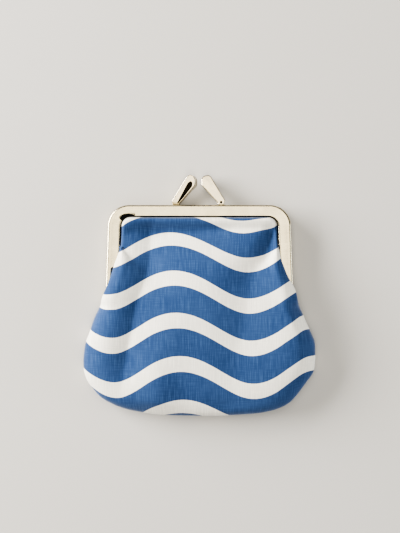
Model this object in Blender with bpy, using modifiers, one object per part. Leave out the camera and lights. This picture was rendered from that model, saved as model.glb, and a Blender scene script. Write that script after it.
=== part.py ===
"""A kiss lock coin purse: printed cotton on a plated sheet metal frame, lying on its back.

X runs across the purse, Y from the bottom of the bag up to the clasp, and Z up from the surface it
lies on. The hinge axis runs along X at Y = 0, halfway through the frame's depth. All sizes are metres.
"""

import math

import bmesh
import bpy
from mathutils import Matrix, Vector

# Frame: two sheet metal channels, each bent into a U with its legs down
FRAME_WIDTH = 0.0850  # outside, at the hinge
LEG_SPLAY = 0.0009  # how much further out a leg stands at the hinge than at its top corner
FRAME_RISE = 0.0409  # hinge axis to the outside of the top bar
LEG_TAIL = 0.0024  # leg below the hinge axis
LEG_UPRIGHT = 0.0050  # stretch of leg above the hinge axis that doesn't splay
CORNER_RADIUS = 0.0096
SHEET = 0.0006
HALF_DEPTH = 0.0043
HALVES_GAP = 0.0004
BEND_RADIUS = 0.0009  # outside radius between the wall and a flange
TOP_FLANGE = 0.0048
LEG_FLANGE = 0.0055
WINDOW_RADIUS = 0.0048
CUTBACK_RISE = 0.0133  # hinge axis to the step where the leg flanges get narrow
CUTBACK_FLANGE = 0.0023
BITE_WIDTH = 0.0074  # lens shaped bite in the front flange, top left
BITE_HEIGHT = 0.0040
BITE_DEPTH = 0.0011  # how far it reaches into the top flange
BITE_ACROSS = 0.0323  # middle of the purse to the middle of the bite

# Hinge: a round lug on each leg, one half's inside the other's, with a rivet through both
LUG_RADIUS = 0.0022
LUG_SHEET = 0.0005
RIVET_RADIUS = 0.0007
RIVET_HEAD_RADIUS = 0.0016
RIVET_HEAD = 0.0005
RIVET_TAIL_RADIUS = 0.0012
RIVET_TAIL = 0.0004

# Clasp: two hollow leaning fingers that snap past each other
FINGER_RISE = 0.0135  # above the top bar
FINGER_DEPTH = 0.0034
FINGER_SKIN = 0.0005
FINGER_EDGE = 0.0003  # rounding of its edges
FRONT_REACH = 0.0109  # kissing face to the outside of the foot
BACK_REACH = 0.0118
KISS_GAP = 0.0010  # between the two kissing faces
KISS_FACE = 0.15  # share of the reach that belongs to the kissing face
KISS_SLANT = 0.0011  # how far a kissing face draws back on the slit side
CROSSING = 0.0029  # how far each tip leans over toward the other half
PIN_HOLE_RADIUS = 0.0004
TENON_WIDTH = 0.0012
CLINCH_WIDTH = 0.0036
CLINCH_DEPTH = 0.0025
CLINCH_SHEET = 0.0004

# Bag: a front and a back panel, held in the channels and sewn together below the hinge
BAG_WIDTH = 0.1058
BAG_DROP = 0.0551  # hinge axis to the bottom
BAG_CROWN = 0.0170  # highest point of the front panel
WALL = 0.0012
SEAM_HEIGHT = 0.0050
SEAM_LIP = 0.0008  # upright stretch of cloth at the seam
HEM_INSET = 0.0019  # outside of the frame to the edge of the cloth in the channel
LEAVE_RISE = 0.0245  # hinge axis to where the front hem starts to leave the channel
BACK_LEAVE_RISE = 0.0046  # the same for the back hem
CREST_DROP = 0.0140  # hinge axis to the middle of the bag's dome
HEM_ROLL = 0.0026  # rise of the roll of cloth along the channel
CROWN_TURN = 0.0110  # hinge axis to where the dome starts to fall toward the bottom

CLEARANCE = 0.0003  # between neighbouring pieces
CUT = 0.0020  # how far a cutter runs past what it cuts

CORNER_STEPS = 7
STATION = 0.0046  # spacing of the sections round a panel's rim
ROUND_SIDES = 20

SHOULDER_WIDTH = FRAME_WIDTH - 2 * LEG_SPLAY
FRAME_DEPTH = 2 * HALF_DEPTH + HALVES_GAP
MIDDLE = FRAME_DEPTH / 2
HALF_MIDDLE = MIDDLE + (HALVES_GAP + HALF_DEPTH) / 2
INNER_LUG_INSET = SHEET + CLEARANCE
FRONT_HEM = FRAME_DEPTH - SHEET - CLEARANCE
BACK_HEM = SHEET + CLEARANCE
OVER_FLANGE = FRAME_DEPTH + CLEARANCE + 1.1 * WALL

# A finger's outline: share of the reach from the kissing face, share of the rise from the top bar
FINGER_OUTLINE = (
    # across, up
    (0.715, 0.020),  # inner foot
    (0.709, 0.085),  # inner heel
    (0.010, 0.655),  # kissing face, low
    (0.000, 0.890),  # kissing face, high
    (0.100, 0.962),
    (0.320, 1.000),  # tip
    (0.390, 0.955),
    (0.995, 0.150),  # outer heel
    (0.970, 0.080),
    (0.950, 0.020),  # outer foot
)
FINGER_SLIT = (
    # across, up
    (0.740, 0.190),
    (0.235, 0.650),
    (0.280, 0.770),
    (0.330, 0.800),
    (0.420, 0.680),
)

# The front panel's edge where it bulges over the legs
LEG_EDGE = (
    # height / FRAME_RISE, left and right / (FRAME_WIDTH / 2), lift from the seam to over the flange
    (0.440, 0.849, 0.849, 1.00),
    (0.385, 0.872, 0.872, 1.00),
    (0.325, 0.899, 0.904, 0.98),
    (0.203, 0.941, 0.946, 0.93),
    (0.115, 0.974, 0.995, 0.90),
    (0.037, 1.009, 1.021, 0.90),
    (-0.035, 1.035, 1.042, 0.86),
    (-0.080, 1.049, 1.056, 0.45),
)
# The back panel's edge where it passes round the foot of a leg
FOOT_EDGE = (
    # height / FRAME_RISE, across / (FRAME_WIDTH / 2), lift from the back hem to the seam
    (-0.078, 0.930, 0.08),
    (-0.088, 0.980, 0.35),
    (-0.102, 1.030, 0.72),
)
# The seam below the hinge
SEAM_EDGE = (
    # drop / BAG_DROP, left and right / (BAG_WIDTH / 2)
    (0.093, 0.856, 0.862),
    (0.150, 0.887, 0.890),
    (0.222, 0.918, 0.920),
    (0.322, 0.952, 0.969),
    (0.388, 0.979, 0.996),
    (0.489, 0.996, 1.000),
    (0.555, 1.000, 0.996),
    (0.638, 0.992, 0.983),
    (0.713, 0.962, 0.930),
    (0.772, 0.918, 0.885),
    (0.838, 0.859, 0.832),
    (0.892, 0.771, 0.776),
    (0.941, 0.643, 0.678),
    (0.974, 0.469, 0.540),
    (0.990, 0.330, 0.360),
    (0.998, 0.130, 0.160),
)
# The folds of the front panel. Heights are shares of FRAME_RISE above the hinge and of BAG_DROP below
# it, places and widths across are shares of BAG_WIDTH / 2, and depths are shares of BAG_CROWN, with
# minus for a ridge.
LEFT_VALLEY = (
    # height, across, width on its left, width on its right, depth
    (0.880, -0.416, 0.265, 0.265, 0.035),
    (0.660, -0.422, 0.284, 0.378, 0.153),
    (0.367, -0.422, 0.293, 0.510, 0.212),
    (0.213, -0.448, 0.312, 0.510, 0.224),
    (-0.036, -0.526, 0.284, 0.491, 0.218),
    (-0.200, -0.560, 0.255, 0.416, 0.206),
    (-0.544, -0.628, 0.227, 0.284, 0.147),
    (-0.762, -0.662, 0.208, 0.246, 0.035),
    (-0.907, -0.681, 0.189, 0.227, 0.000),
)
RIGHT_VALLEY = (
    # height, across, width on its left, width on its right, depth
    (0.880, 0.681, 0.227, 0.076, 0.018),
    (0.746, 0.662, 0.227, 0.076, 0.076),
    (0.513, 0.605, 0.302, 0.113, 0.129),
    (0.367, 0.539, 0.340, 0.227, 0.147),
    (0.220, 0.482, 0.340, 0.340, 0.159),
    (0.093, 0.448, 0.340, 0.378, 0.159),
    (-0.200, 0.388, 0.302, 0.378, 0.118),
    (-0.454, 0.340, 0.302, 0.416, 0.082),
    (-0.726, 0.284, 0.302, 0.416, 0.047),
)
RIGHT_RIDGE = (
    # height, across, width on its left, width on its right, depth
    (0.587, 0.681, 0.113, 0.066, -0.006),
    (0.293, 0.730, 0.151, 0.066, -0.080),
    (0.000, 0.760, 0.161, 0.076, -0.110),
    (-0.200, 0.786, 0.170, 0.085, -0.095),
    (-0.436, 0.813, 0.265, 0.113, -0.047),
    (-0.690, 0.794, 0.340, 0.113, -0.029),
)
BOTTOM_RIDGE = (
    # height, across, width on its left, width on its right, depth
    (-0.327, -0.302, 0.302, 0.265, 0.000),
    (-0.726, -0.359, 0.302, 0.265, -0.094),
    (-0.998, -0.378, 0.302, 0.265, -0.082),
)
DOWNWARD_FOLDS = (LEFT_VALLEY, RIGHT_VALLEY, RIGHT_RIDGE, BOTTOM_RIDGE)
# The valley below the top bar
TOP_VALLEY = (
    # across, height, width below it, width above it, depth
    (-0.756, 0.733, 0.170, 0.095, 0.059),
    (-0.567, 0.685, 0.208, 0.113, 0.153),
    (-0.416, 0.685, 0.246, 0.123, 0.200),
    (-0.095, 0.692, 0.284, 0.123, 0.229),
    (0.151, 0.709, 0.284, 0.113, 0.200),
    (0.378, 0.721, 0.284, 0.104, 0.141),
    (0.681, 0.758, 0.189, 0.076, 0.059),
)
# How far in from the rim each ring of a panel lies, as a share of the way to the dome's middle
RINGS = (0.030, 0.065, 0.100, 0.150, 0.215, 0.310, 0.430, 0.570, 0.730, 0.880)
HEM_SHARE = 0.100  # share of the way that stays flat in the channel
LIP_RUN = 0.012  # share of the way from a hem's edge to its first ring
SOFTENING = 9  # passes of averaging round the rim for each ring past the hem
ROLL_SHARE = 0.170  # share of the way in which the back panel rolls down flat
OPENING_SHARE = 0.120  # share of the way in which the folds grow to their full depth
HEM_ROLL_SHARE = 0.045  # share of the way in which the cloth rolls up out of the channel
HEM_FULLNESS = 1.9  # how soon the panel comes up from the channel, 1 for a straight slope
SIDE_FULLNESS = 7.0  # the same from the seam and over the legs
CROWN_FALL = 0.065  # slope at which the dome falls toward the bottom
LIP_SHARES = (0.45, 1.0)  # steps in which the front hem moves out from under the leg's flange
EDGE_ROUNDNESS = (0.25, 0.60)  # roundness where the front hem comes out, and its gain down the leg


def clear_scene():
    for item in list(bpy.data.objects):
        bpy.data.objects.remove(item, do_unlink=True)


def new_collection(name, hidden=False):
    group = bpy.data.collections.new(name)
    bpy.context.scene.collection.children.link(group)
    group.hide_render = hidden
    return group


def plain_material(name, colour, roughness, metallic):
    """A Principled material with one colour."""
    made = bpy.data.materials.new(name)
    made.use_nodes = True
    shader = made.node_tree.nodes["Principled BSDF"]
    shader.inputs["Base Color"].default_value = (*colour, 1.0)
    shader.inputs["Roughness"].default_value = roughness
    shader.inputs["Metallic"].default_value = metallic
    return made


def place(name, mesh, group, finish=None):
    """A new object of the mesh, in a collection, with its material."""
    thing = bpy.data.objects.new(name, mesh)
    group.objects.link(thing)
    if finish:
        mesh.materials.append(finish)
    return thing


def as_cutter(thing):
    thing.hide_render = True
    thing.display_type = "WIRE"
    return thing


def flat_mesh(name, points, bottom, top):
    """The closed mesh of a flat outline, filled and extruded from bottom to top."""
    curve = bpy.data.curves.new(name + "_outline", "CURVE")
    curve.dimensions = "2D"
    curve.fill_mode = "BOTH"
    curve.extrude = (top - bottom) / 2
    spline = curve.splines.new("POLY")
    spline.points.add(len(points) - 1)
    for spot, (x, y) in zip(spline.points, points):
        spot.co = (x, y, 0, 1)
    spline.use_cyclic_u = True
    outline = bpy.data.objects.new(name + "_outline", curve)
    bpy.context.scene.collection.objects.link(outline)
    bpy.context.view_layer.update()
    depsgraph = bpy.context.evaluated_depsgraph_get()
    mesh = bpy.data.meshes.new_from_object(outline.evaluated_get(depsgraph))
    mesh.name = name
    bpy.data.objects.remove(outline, do_unlink=True)
    work = bmesh.new()
    work.from_mesh(mesh)
    bmesh.ops.remove_doubles(work, verts=work.verts, dist=0.000001)
    bmesh.ops.translate(work, verts=work.verts, vec=(0, 0, (top + bottom) / 2))
    bmesh.ops.recalc_face_normals(work, faces=work.faces)
    work.to_mesh(mesh)
    work.free()
    return mesh


def box_mesh(name, low, high):
    """A box between two corners."""
    work = bmesh.new()
    bmesh.ops.create_cube(work, size=1.0)
    size = [b - a for a, b in zip(low, high)]
    middle = [(a + b) / 2 for a, b in zip(low, high)]
    bmesh.ops.scale(work, verts=work.verts, vec=size)
    bmesh.ops.translate(work, verts=work.verts, vec=middle)
    return finished_mesh(name, work)


def rod_mesh(name, radius, start, end):
    """A round rod from one point to another, turned from a cone primitive."""
    start, end = Vector(start), Vector(end)
    along = end - start
    turn = along.to_track_quat("Z", "Y").to_matrix().to_4x4()
    matrix = Matrix.Translation((start + end) / 2) @ turn
    work = bmesh.new()
    bmesh.ops.create_cone(
        work,
        cap_ends=True,
        segments=ROUND_SIDES,
        radius1=radius,
        radius2=radius,
        depth=along.length,
        matrix=matrix,
    )
    return finished_mesh(name, work)


def finished_mesh(name, work):
    mesh = bpy.data.meshes.new(name)
    work.to_mesh(mesh)
    work.free()
    return mesh


def combine(thing, other, operation):
    """An exact Boolean of the thing with another object, which is left as a guide."""
    step = thing.modifiers.new(other.name, "BOOLEAN")
    step.operation = operation
    step.solver = "EXACT"
    step.object = as_cutter(other)


def round_edges(thing, width, segments):
    bevel = thing.modifiers.new("rounding", "BEVEL")
    bevel.width = width
    bevel.segments = segments
    bevel.limit_method = "ANGLE"
    bevel.angle_limit = math.radians(40)


def shade_round(thing):
    thing.data.shade_smooth()
    thing.data.set_sharp_from_angle(angle=math.radians(35))


def blend(a, b, share):
    return a + (b - a) * share


def leg_half_width(height):
    """Middle of the purse to the outside of a leg, at a height over the hinge axis."""
    shoulder = FRAME_RISE - CORNER_RADIUS
    share = (height - LEG_UPRIGHT) / (shoulder - LEG_UPRIGHT)
    return blend(FRAME_WIDTH, SHOULDER_WIDTH, min(max(share, 0.0), 1.0)) / 2


def frame_u(side_inset, top_inset, radius, foot):
    """Points round the frame's U, moved in from its outside, from the left foot to the right."""
    top = FRAME_RISE - top_inset
    shoulder = top - radius
    reach = SHOULDER_WIDTH / 2 - side_inset
    heights = [foot, shoulder]
    if foot < LEG_UPRIGHT:
        heights.insert(1, LEG_UPRIGHT)
    left = [(side_inset - leg_half_width(height), height) for height in heights[:-1]]
    for step in range(CORNER_STEPS + 1):
        angle = math.pi - math.pi / 2 * step / CORNER_STEPS
        x = radius - reach + radius * math.cos(angle)
        left.append((x, shoulder + radius * math.sin(angle)))
    return left + [(-x, y) for x, y in reversed(left)]


def half_plate(name, group, finish):
    """The blank of the front half: a rounded plate, hollowed and opened by the window."""
    bottom, top = MIDDLE + HALVES_GAP / 2, FRAME_DEPTH
    outline = frame_u(0.0, 0.0, CORNER_RADIUS, -LEG_TAIL)
    plate = place(name, flat_mesh(name, outline, bottom, top), group, finish)
    round_edges(plate, BEND_RADIUS, 3)
    return plate


def channel_cutters(name, group, slot_x):
    """What is cut from a plate to leave the channel, its window, cut back flanges and tenon slot."""
    bottom, top = MIDDLE + HALVES_GAP / 2, FRAME_DEPTH
    foot = -LEG_TAIL - CUT
    window = frame_u(LEG_FLANGE, TOP_FLANGE, WINDOW_RADIUS, foot)
    cavity = frame_u(SHEET, SHEET, CORNER_RADIUS - SHEET, foot)
    cutters = [
        flat_mesh(name + "_window", window, bottom - CUT, top + CUT),
        flat_mesh(name + "_cavity", cavity, bottom + SHEET, top - SHEET),
    ]
    inner = FRAME_WIDTH / 2 - LEG_FLANGE - CUT
    outer = FRAME_WIDTH / 2 - CUTBACK_FLANGE
    for side, word in ((-1, "left"), (1, "right")):
        low = (min(side * inner, side * outer), foot, bottom - CUT)
        high = (max(side * inner, side * outer), CUTBACK_RISE, top + CUT)
        cutters.append(box_mesh(f"{name}_cutback_{word}", low, high))
    half_slot = TENON_WIDTH / 2 + CLEARANCE
    low = (slot_x - half_slot, FRAME_RISE - 2 * SHEET, HALF_MIDDLE - half_slot)
    high = (slot_x + half_slot, FRAME_RISE + CUT, HALF_MIDDLE + half_slot)
    cutters.append(box_mesh(name + "_slot", low, high))
    return [place(mesh.name, mesh, group) for mesh in cutters]


def bite_cutter(name, group):
    """A lens shaped tool that cuts the bite in the window's upper left corner."""
    y = FRAME_RISE - TOP_FLANGE + BITE_DEPTH - BITE_HEIGHT / 2
    low = (-BITE_ACROSS, y, FRAME_DEPTH - 1.5 * SHEET)
    high = (-BITE_ACROSS, y, FRAME_DEPTH + CUT)
    mesh = rod_mesh(name + "_bite", BITE_WIDTH / 2, low, high)
    for spot in mesh.vertices:
        spot.co.y = blend(y, spot.co.y, BITE_HEIGHT / BITE_WIDTH)
    return place(mesh.name, mesh, group)


def lug(name, group, side, inset, reach_up):
    """A round ended hinge lug, as a plate across X, from the axis up into its own half."""
    outer = FRAME_WIDTH / 2 - inset
    inner = outer - LUG_SHEET
    ends = sorted((side * outer, side * inner))
    disc = rod_mesh(name + "_disc", LUG_RADIUS, (ends[0], 0, MIDDLE), (ends[1], 0, MIDDLE))
    low = (ends[0] + LUG_SHEET / 100, -LUG_RADIUS, MIDDLE)
    high = (ends[1] - LUG_SHEET / 100, LUG_RADIUS, reach_up)
    plate = place(name, disc, group)
    combine(plate, place(name + "_stem", box_mesh(name + "_stem", low, high), group), "UNION")
    return plate


def hinge_cutters(name, group):
    """Room for the other half's lugs and the rivet's tail, and the rivet holes."""
    half = FRAME_WIDTH / 2
    bottom = MIDDLE + HALVES_GAP / 2
    room = LUG_RADIUS + 1.5 * CLEARANCE
    rooms, holes = [], []
    # the left leg carries the outer lug, and its inner flange makes room for the other half's inner
    # lug; the right leg carries the inner lug, and its inner flange makes room for the rivet's tail
    for side, word, inset in (
        (-1, "left", SHEET + CLEARANCE / 2),
        (1, "right", INNER_LUG_INSET + LUG_SHEET / 2),
    ):
        edges = sorted((side * (half - inset), side * (half - LEG_FLANGE - CUT)))
        low = (edges[0], -LEG_TAIL - CUT, bottom - CUT)
        high = (edges[1], room, bottom + SHEET + CLEARANCE)
        title = f"{name}_flange_room_{word}"
        rooms.append(place(title, box_mesh(title, low, high), group))
        start = (side * (half + CUT), 0, MIDDLE)
        end = (side * (half - CUTBACK_FLANGE), 0, MIDDLE)
        title = f"{name}_hole_{word}"
        holes.append(place(title, rod_mesh(title, RIVET_RADIUS + CLEARANCE, start, end), group))
    # the right leg's wall makes room for the other half's outer lug
    ends = (half + CUT, 0, MIDDLE), (half - SHEET - CLEARANCE / 2, 0, MIDDLE)
    rooms.append(place(name + "_wall_room", rod_mesh(name + "_wall_room", room, *ends), group))
    return rooms, holes


def turn_to_back(thing):
    """Turns a piece of the front half round into the back half's place."""
    thing.matrix_world = Matrix.Translation((0, 0, MIDDLE)) @ Matrix.Rotation(math.pi, 4, "Y") @ (
        Matrix.Translation((0, 0, -MIDDLE))
    )


def frame_half(name, group, cutters, finish, slot_x, bitten):
    """One channel in the front half's place, as it is stamped, with its cutters."""
    half = half_plate(name, group, finish)
    tools = channel_cutters(name, cutters, slot_x)
    rooms, holes = hinge_cutters(name, cutters)
    if bitten:
        tools.append(bite_cutter(name, cutters))
    for tool in tools + rooms:
        combine(half, tool, "DIFFERENCE")
    outer_inset = (SHEET - LUG_SHEET) / 2
    outer_lug = lug(name + "_outer_lug", cutters, -1, outer_inset, HALF_MIDDLE)
    inner_top = FRAME_DEPTH - SHEET / 2
    inner_lug = lug(name + "_inner_lug", cutters, 1, INNER_LUG_INSET, inner_top)
    combine(half, outer_lug, "UNION")
    combine(half, inner_lug, "UNION")
    for hole in holes:
        combine(half, hole, "DIFFERENCE")
    shade_round(half)
    return half


def finger_point(across, up, reach):
    """A point of a finger's outline, on the front half's side."""
    return KISS_GAP / 2 + across * reach, FRAME_RISE + up * FINGER_RISE


def lean(mesh):
    """Leans a finger's mesh over toward the other half, by its height above the top bar."""
    for spot in mesh.vertices:
        share = max(spot.co.y - FRAME_RISE, 0.0) / FINGER_RISE
        spot.co.z -= CROSSING * share


def tenon_x(reach):
    foot = (FINGER_OUTLINE[0][0] + FINGER_OUTLINE[-1][0]) / 2
    return finger_point(foot, 0.0, reach)[0]


def finger(name, group, cutters, finish, reach):
    """A clasp finger in the front half's place: closed side up, slit side down, with its tenon."""
    outline = [finger_point(across, up, reach) for across, up in FINGER_OUTLINE]
    bottom, top = HALF_MIDDLE - FINGER_DEPTH / 2, HALF_MIDDLE + FINGER_DEPTH / 2
    mesh = flat_mesh(name, outline, bottom, top)
    kissing = KISS_GAP / 2 + KISS_FACE * reach
    for spot in mesh.vertices:
        if spot.co.x < kissing and spot.co.z < HALF_MIDDLE:
            spot.co.x += KISS_SLANT
    lean(mesh)
    body = place(name, mesh, group, finish)
    round_edges(body, FINGER_EDGE, 2)
    slit = [finger_point(across, up, reach) for across, up in FINGER_SLIT]
    slit_mesh = flat_mesh(name + "_slit", slit, bottom - CUT, top - FINGER_SKIN)
    lean(slit_mesh)
    combine(body, place(slit_mesh.name, slit_mesh, cutters), "DIFFERENCE")
    x, y = tenon_x(reach), FRAME_RISE + 0.09 * FINGER_RISE
    hole = rod_mesh(name + "_pin_hole", PIN_HOLE_RADIUS, (x, y, bottom - CUT), (x, y, top + CUT))
    combine(body, place(hole.name, hole, cutters), "DIFFERENCE")
    half_tenon = TENON_WIDTH / 2
    clinch_top = FRAME_RISE - SHEET - CLEARANCE
    clinch_bottom = clinch_top - CLINCH_SHEET
    low = (x - half_tenon, clinch_bottom + CLINCH_SHEET / 2, HALF_MIDDLE - half_tenon)
    high = (x + half_tenon, FRAME_RISE + 0.05 * FINGER_RISE, HALF_MIDDLE + half_tenon)
    tenon = place(name + "_tenon", box_mesh(name + "_tenon", low, high), cutters)
    low = (x - CLINCH_WIDTH / 2, clinch_bottom, HALF_MIDDLE - CLINCH_DEPTH / 2)
    high = (x + CLINCH_WIDTH / 2, clinch_top, HALF_MIDDLE + CLINCH_DEPTH / 2)
    clinch = place(name + "_clinch", box_mesh(name + "_clinch", low, high), cutters)
    combine(body, tenon, "UNION")
    combine(body, clinch, "UNION")
    shade_round(body)
    return body


def rivet(name, group, finish, side):
    """A domed hinge rivet, turned about the hinge axis from its head to its clenched tail."""
    head_foot = -CLEARANCE
    tail_foot = INNER_LUG_INSET + LUG_SHEET + CLEARANCE
    profile = (
        # radius, distance in from the leg's outside
        (0.0, head_foot - RIVET_HEAD),
        (RIVET_HEAD_RADIUS * 0.6, head_foot - RIVET_HEAD * 0.8),
        (RIVET_HEAD_RADIUS, head_foot - RIVET_HEAD * 0.3),
        (RIVET_HEAD_RADIUS, head_foot),
        (RIVET_RADIUS, head_foot),
        (RIVET_RADIUS, tail_foot),
        (RIVET_TAIL_RADIUS, tail_foot),
        (RIVET_TAIL_RADIUS, tail_foot + RIVET_TAIL * 0.6),
        (0.0, tail_foot + RIVET_TAIL),
    )
    mesh = bpy.data.meshes.new(name)
    points = [(radius, 0.0, -inward) for radius, inward in profile]
    mesh.from_pydata(points, [(n, n + 1) for n in range(len(points) - 1)], [])
    body = place(name, mesh, group, finish)
    turned = body.modifiers.new("turned", "SCREW")
    turned.steps = turned.render_steps = ROUND_SIDES
    turned.use_merge_vertices = True
    turned.merge_threshold = 0.00001
    turned.use_smooth_shade = True
    body.location = (side * FRAME_WIDTH / 2, 0, MIDDLE)
    body.rotation_euler = (0, side * math.pi / 2, 0)
    return body


def hem_edge(side, level, foot):
    """The rim rows in the channel, from the top middle down one leg: x, y, z and roundness."""
    points = frame_u(HEM_INSET, HEM_INSET, CORNER_RADIUS - HEM_INSET, foot)
    half = [point for point in points if point[0] < 0]
    rows = [(side * abs(x), y, level, 0.0) for x, y in reversed(half)]
    straight = rows[0][0]
    bar = [(straight * share, rows[0][1], level, 0.0) for share in (0.0, 0.34, 0.67)]
    return bar + rows


def seam_edge(side, level):
    """The rim rows along the seam, from under the hinge down to the bottom."""
    rows = []
    for drop, left, right in SEAM_EDGE:
        across = left if side < 0 else right
        rows.append((side * across * BAG_WIDTH / 2, -drop * BAG_DROP, level, 1.0))
    return rows


def front_side(side):
    """One side of the front panel's rim: in the channel, out over the leg, and down the seam."""
    rows = hem_edge(side, FRONT_HEM, LEAVE_RISE + 2 * HEM_INSET)
    window = LEG_FLANGE + CLEARANCE
    for share, height in zip(LIP_SHARES, (LEAVE_RISE, LEAVE_RISE - 2 * HEM_INSET)):
        x = leg_half_width(height) - blend(HEM_INSET, window, share)
        rows.append((side * x, height, FRONT_HEM, 0.0))
    low = SEAM_HEIGHT + CLEARANCE / 2
    for height, left, right, lift in LEG_EDGE:
        across = left if side < 0 else right
        x = side * across * FRAME_WIDTH / 2
        start, gain = EDGE_ROUNDNESS
        roundness = min(1.0, start + gain * (1 - height / LEG_EDGE[0][0]))
        rows.append((x, height * FRAME_RISE, blend(low, OVER_FLANGE, lift), roundness))
    return rows + seam_edge(side, low)


def back_side(side):
    """One side of the back panel's rim: in the channel, inside the leg, round its foot, the seam."""
    rows = hem_edge(side, BACK_HEM, BACK_LEAVE_RISE)
    inside = INNER_LUG_INSET + LUG_SHEET + RIVET_TAIL + 3 * CLEARANCE
    for height in (LUG_RADIUS, 0.0):
        rows.append((side * (leg_half_width(height) - inside), height, BACK_HEM, 0.0))
    high = SEAM_HEIGHT - CLEARANCE / 2
    for height, across, lift in FOOT_EDGE:
        x = side * across * FRAME_WIDTH / 2
        rows.append((x, height * FRAME_RISE, blend(BACK_HEM, high, lift), lift))
    return rows + seam_edge(side, high)


def rounded_loop(rows):
    """A closed centripetal Catmull-Rom curve through the rows, as evenly spaced stations."""
    spots = [Vector(row) for row in rows]
    count = len(spots)
    stations = []
    for n in range(count):
        p0, p1, p2, p3 = (spots[(n + k) % count] for k in (-1, 0, 1, 2))
        knots = [0.0]
        for a, b in ((p0, p1), (p1, p2), (p2, p3)):
            knots.append(knots[-1] + math.sqrt((b - a).xyz.length))
        steps = max(1, round((p2 - p1).xyz.length / STATION))
        for step in range(steps):
            t = blend(knots[1], knots[2], step / steps)
            stations.append(catmull_point((p0, p1, p2, p3), knots, t))
    return stations


def catmull_point(spots, knots, t):
    """One point of the curve between the middle two spots, by repeated blending."""
    level = list(spots)
    for span in (1, 2):
        level = [
            blend(level[k], level[k + 1], (t - knots[k]) / (knots[k + span] - knots[k]))
            for k in range(len(level) - 1)
        ]
    return blend(level[0], level[1], (t - knots[1]) / (knots[2] - knots[1]))


def height_of(share):
    """A height over the hinge axis, from its share of the frame's rise or of the bag's drop."""
    return share * (FRAME_RISE if share > 0 else BAG_DROP)


def fold(rows, along, across):
    """Height of one fold, from its rows in metres, at a place along and across it."""
    after = min(max(sum(row[0] < along for row in rows), 1), len(rows) - 1)
    low, high = rows[after - 1], rows[after]
    share = min(max((along - low[0]) / (high[0] - low[0]), 0.0), 1.0)
    middle, low_side, high_side, depth = (blend(a, b, share) for a, b in zip(low[1:], high[1:]))
    off = across - middle
    reach = min(abs(off) / (low_side if off < 0 else high_side), 1.0)
    return -depth * (1 - math.sin(math.pi / 2 * reach))


def fold_height(x, y):
    """How far the front panel's folds lift or lower a point."""
    half = BAG_WIDTH / 2
    rows = [
        (x_share * half, height_of(share), low * half, high * half, depth * BAG_CROWN)
        for x_share, share, low, high, depth in TOP_VALLEY
    ]
    height = fold(rows, x, y)
    for table in DOWNWARD_FOLDS:
        rows = [
            (height_of(share), x_share * half, low * half, high * half, depth * BAG_CROWN)
            for share, x_share, low, high, depth in reversed(table)
        ]
        height += fold(rows, y, x)
    return height


def front_height(x, y, inward, rim, roundness):
    """Height of the front panel's outer face at a share of the way in from its rim."""
    past_hem = max(inward - HEM_SHARE, 0.0)
    hem_rise = 1 - (1 - past_hem / (1 - HEM_SHARE)) ** HEM_FULLNESS
    seam_rise = math.sqrt(max(0.0, 1 - (1 - inward) ** SIDE_FULLNESS))
    roll = HEM_ROLL * min(past_hem / HEM_ROLL_SHARE, 1.0) * (1 - roundness)
    low = rim + SEAM_LIP * roundness + roll
    crown = BAG_CROWN - CROWN_FALL * max(0.0, CROWN_TURN - y)
    rise = blend(hem_rise, seam_rise, roundness)
    return blend(low, crown, rise) + fold_height(x, y) * min(past_hem / OPENING_SHARE, 1.0)


def back_height(x, y, inward, rim, roundness):
    """Height of the back panel's outer face: it rolls down from the rim and lies flat."""
    start = HEM_SHARE * (1 - roundness)
    share = min(1.0, max(0.0, inward - start) / (ROLL_SHARE - start))
    roll = blend(share, math.sqrt(1 - (1 - share) ** 2), roundness)
    return (rim - SEAM_LIP * roundness) * (1 - roll)


def soften(values):
    """Values round the rim, each averaged with its two neighbours."""
    count = len(values)
    for _ in range(SOFTENING):
        values = [
            (values[n - 1] + 2 * values[n] + values[(n + 1) % count]) / 4 for n in range(count)
        ]
    return values


def panel(name, group, finish, rows, height_at, outward):
    """A cloth panel: rings from the rim to the dome's middle, given the cloth's thickness."""
    stations = rounded_loop(rows)
    count = len(stations)
    middle = Vector((0.0, -CREST_DROP))
    spots = [station.xy for station in stations]
    rims = [station.z for station in stations]
    roundness = [station.w for station in stations]
    points = [(spot.x, spot.y, rim) for spot, rim in zip(spots, rims)]
    for spot, rim, share in zip(spots, rims, roundness):
        inner = spot.lerp(middle, LIP_RUN * (1 - share))
        points.append((inner.x, inner.y, rim + outward * SEAM_LIP * share))
    for inward in RINGS:
        if inward > HEM_SHARE:
            spots, rims, roundness = soften(spots), soften(rims), soften(roundness)
        for spot, rim, share in zip(spots, rims, roundness):
            x, y = spot.lerp(middle, inward)
            points.append((x, y, height_at(x, y, inward, rim, share)))
    points.append((*middle, height_at(*middle, 1.0, rims[0], 1.0)))
    faces = []
    for ring in range(len(RINGS) + 1):
        for n in range(count):
            m = (n + 1) % count
            a, b = ring * count, (ring + 1) * count
            faces.append((a + n, a + m, b + m, b + n))
    last = (len(RINGS) + 1) * count
    faces += [(last + n, last + (n + 1) % count, len(points) - 1) for n in range(count)]
    if outward < 0:
        faces = [tuple(reversed(face)) for face in faces]
    mesh = bpy.data.meshes.new(name)
    mesh.from_pydata(points, [], faces)
    body = place(name, mesh, group, finish)
    wall = body.modifiers.new("cloth", "SOLIDIFY")
    wall.thickness = WALL
    wall.offset = -1
    mesh.shade_smooth()
    return body


def whole_rim(side_rows):
    """The rim of a panel, down the left side and up the right."""
    left, right = side_rows(-1), side_rows(1)
    return left + right[:0:-1]


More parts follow.
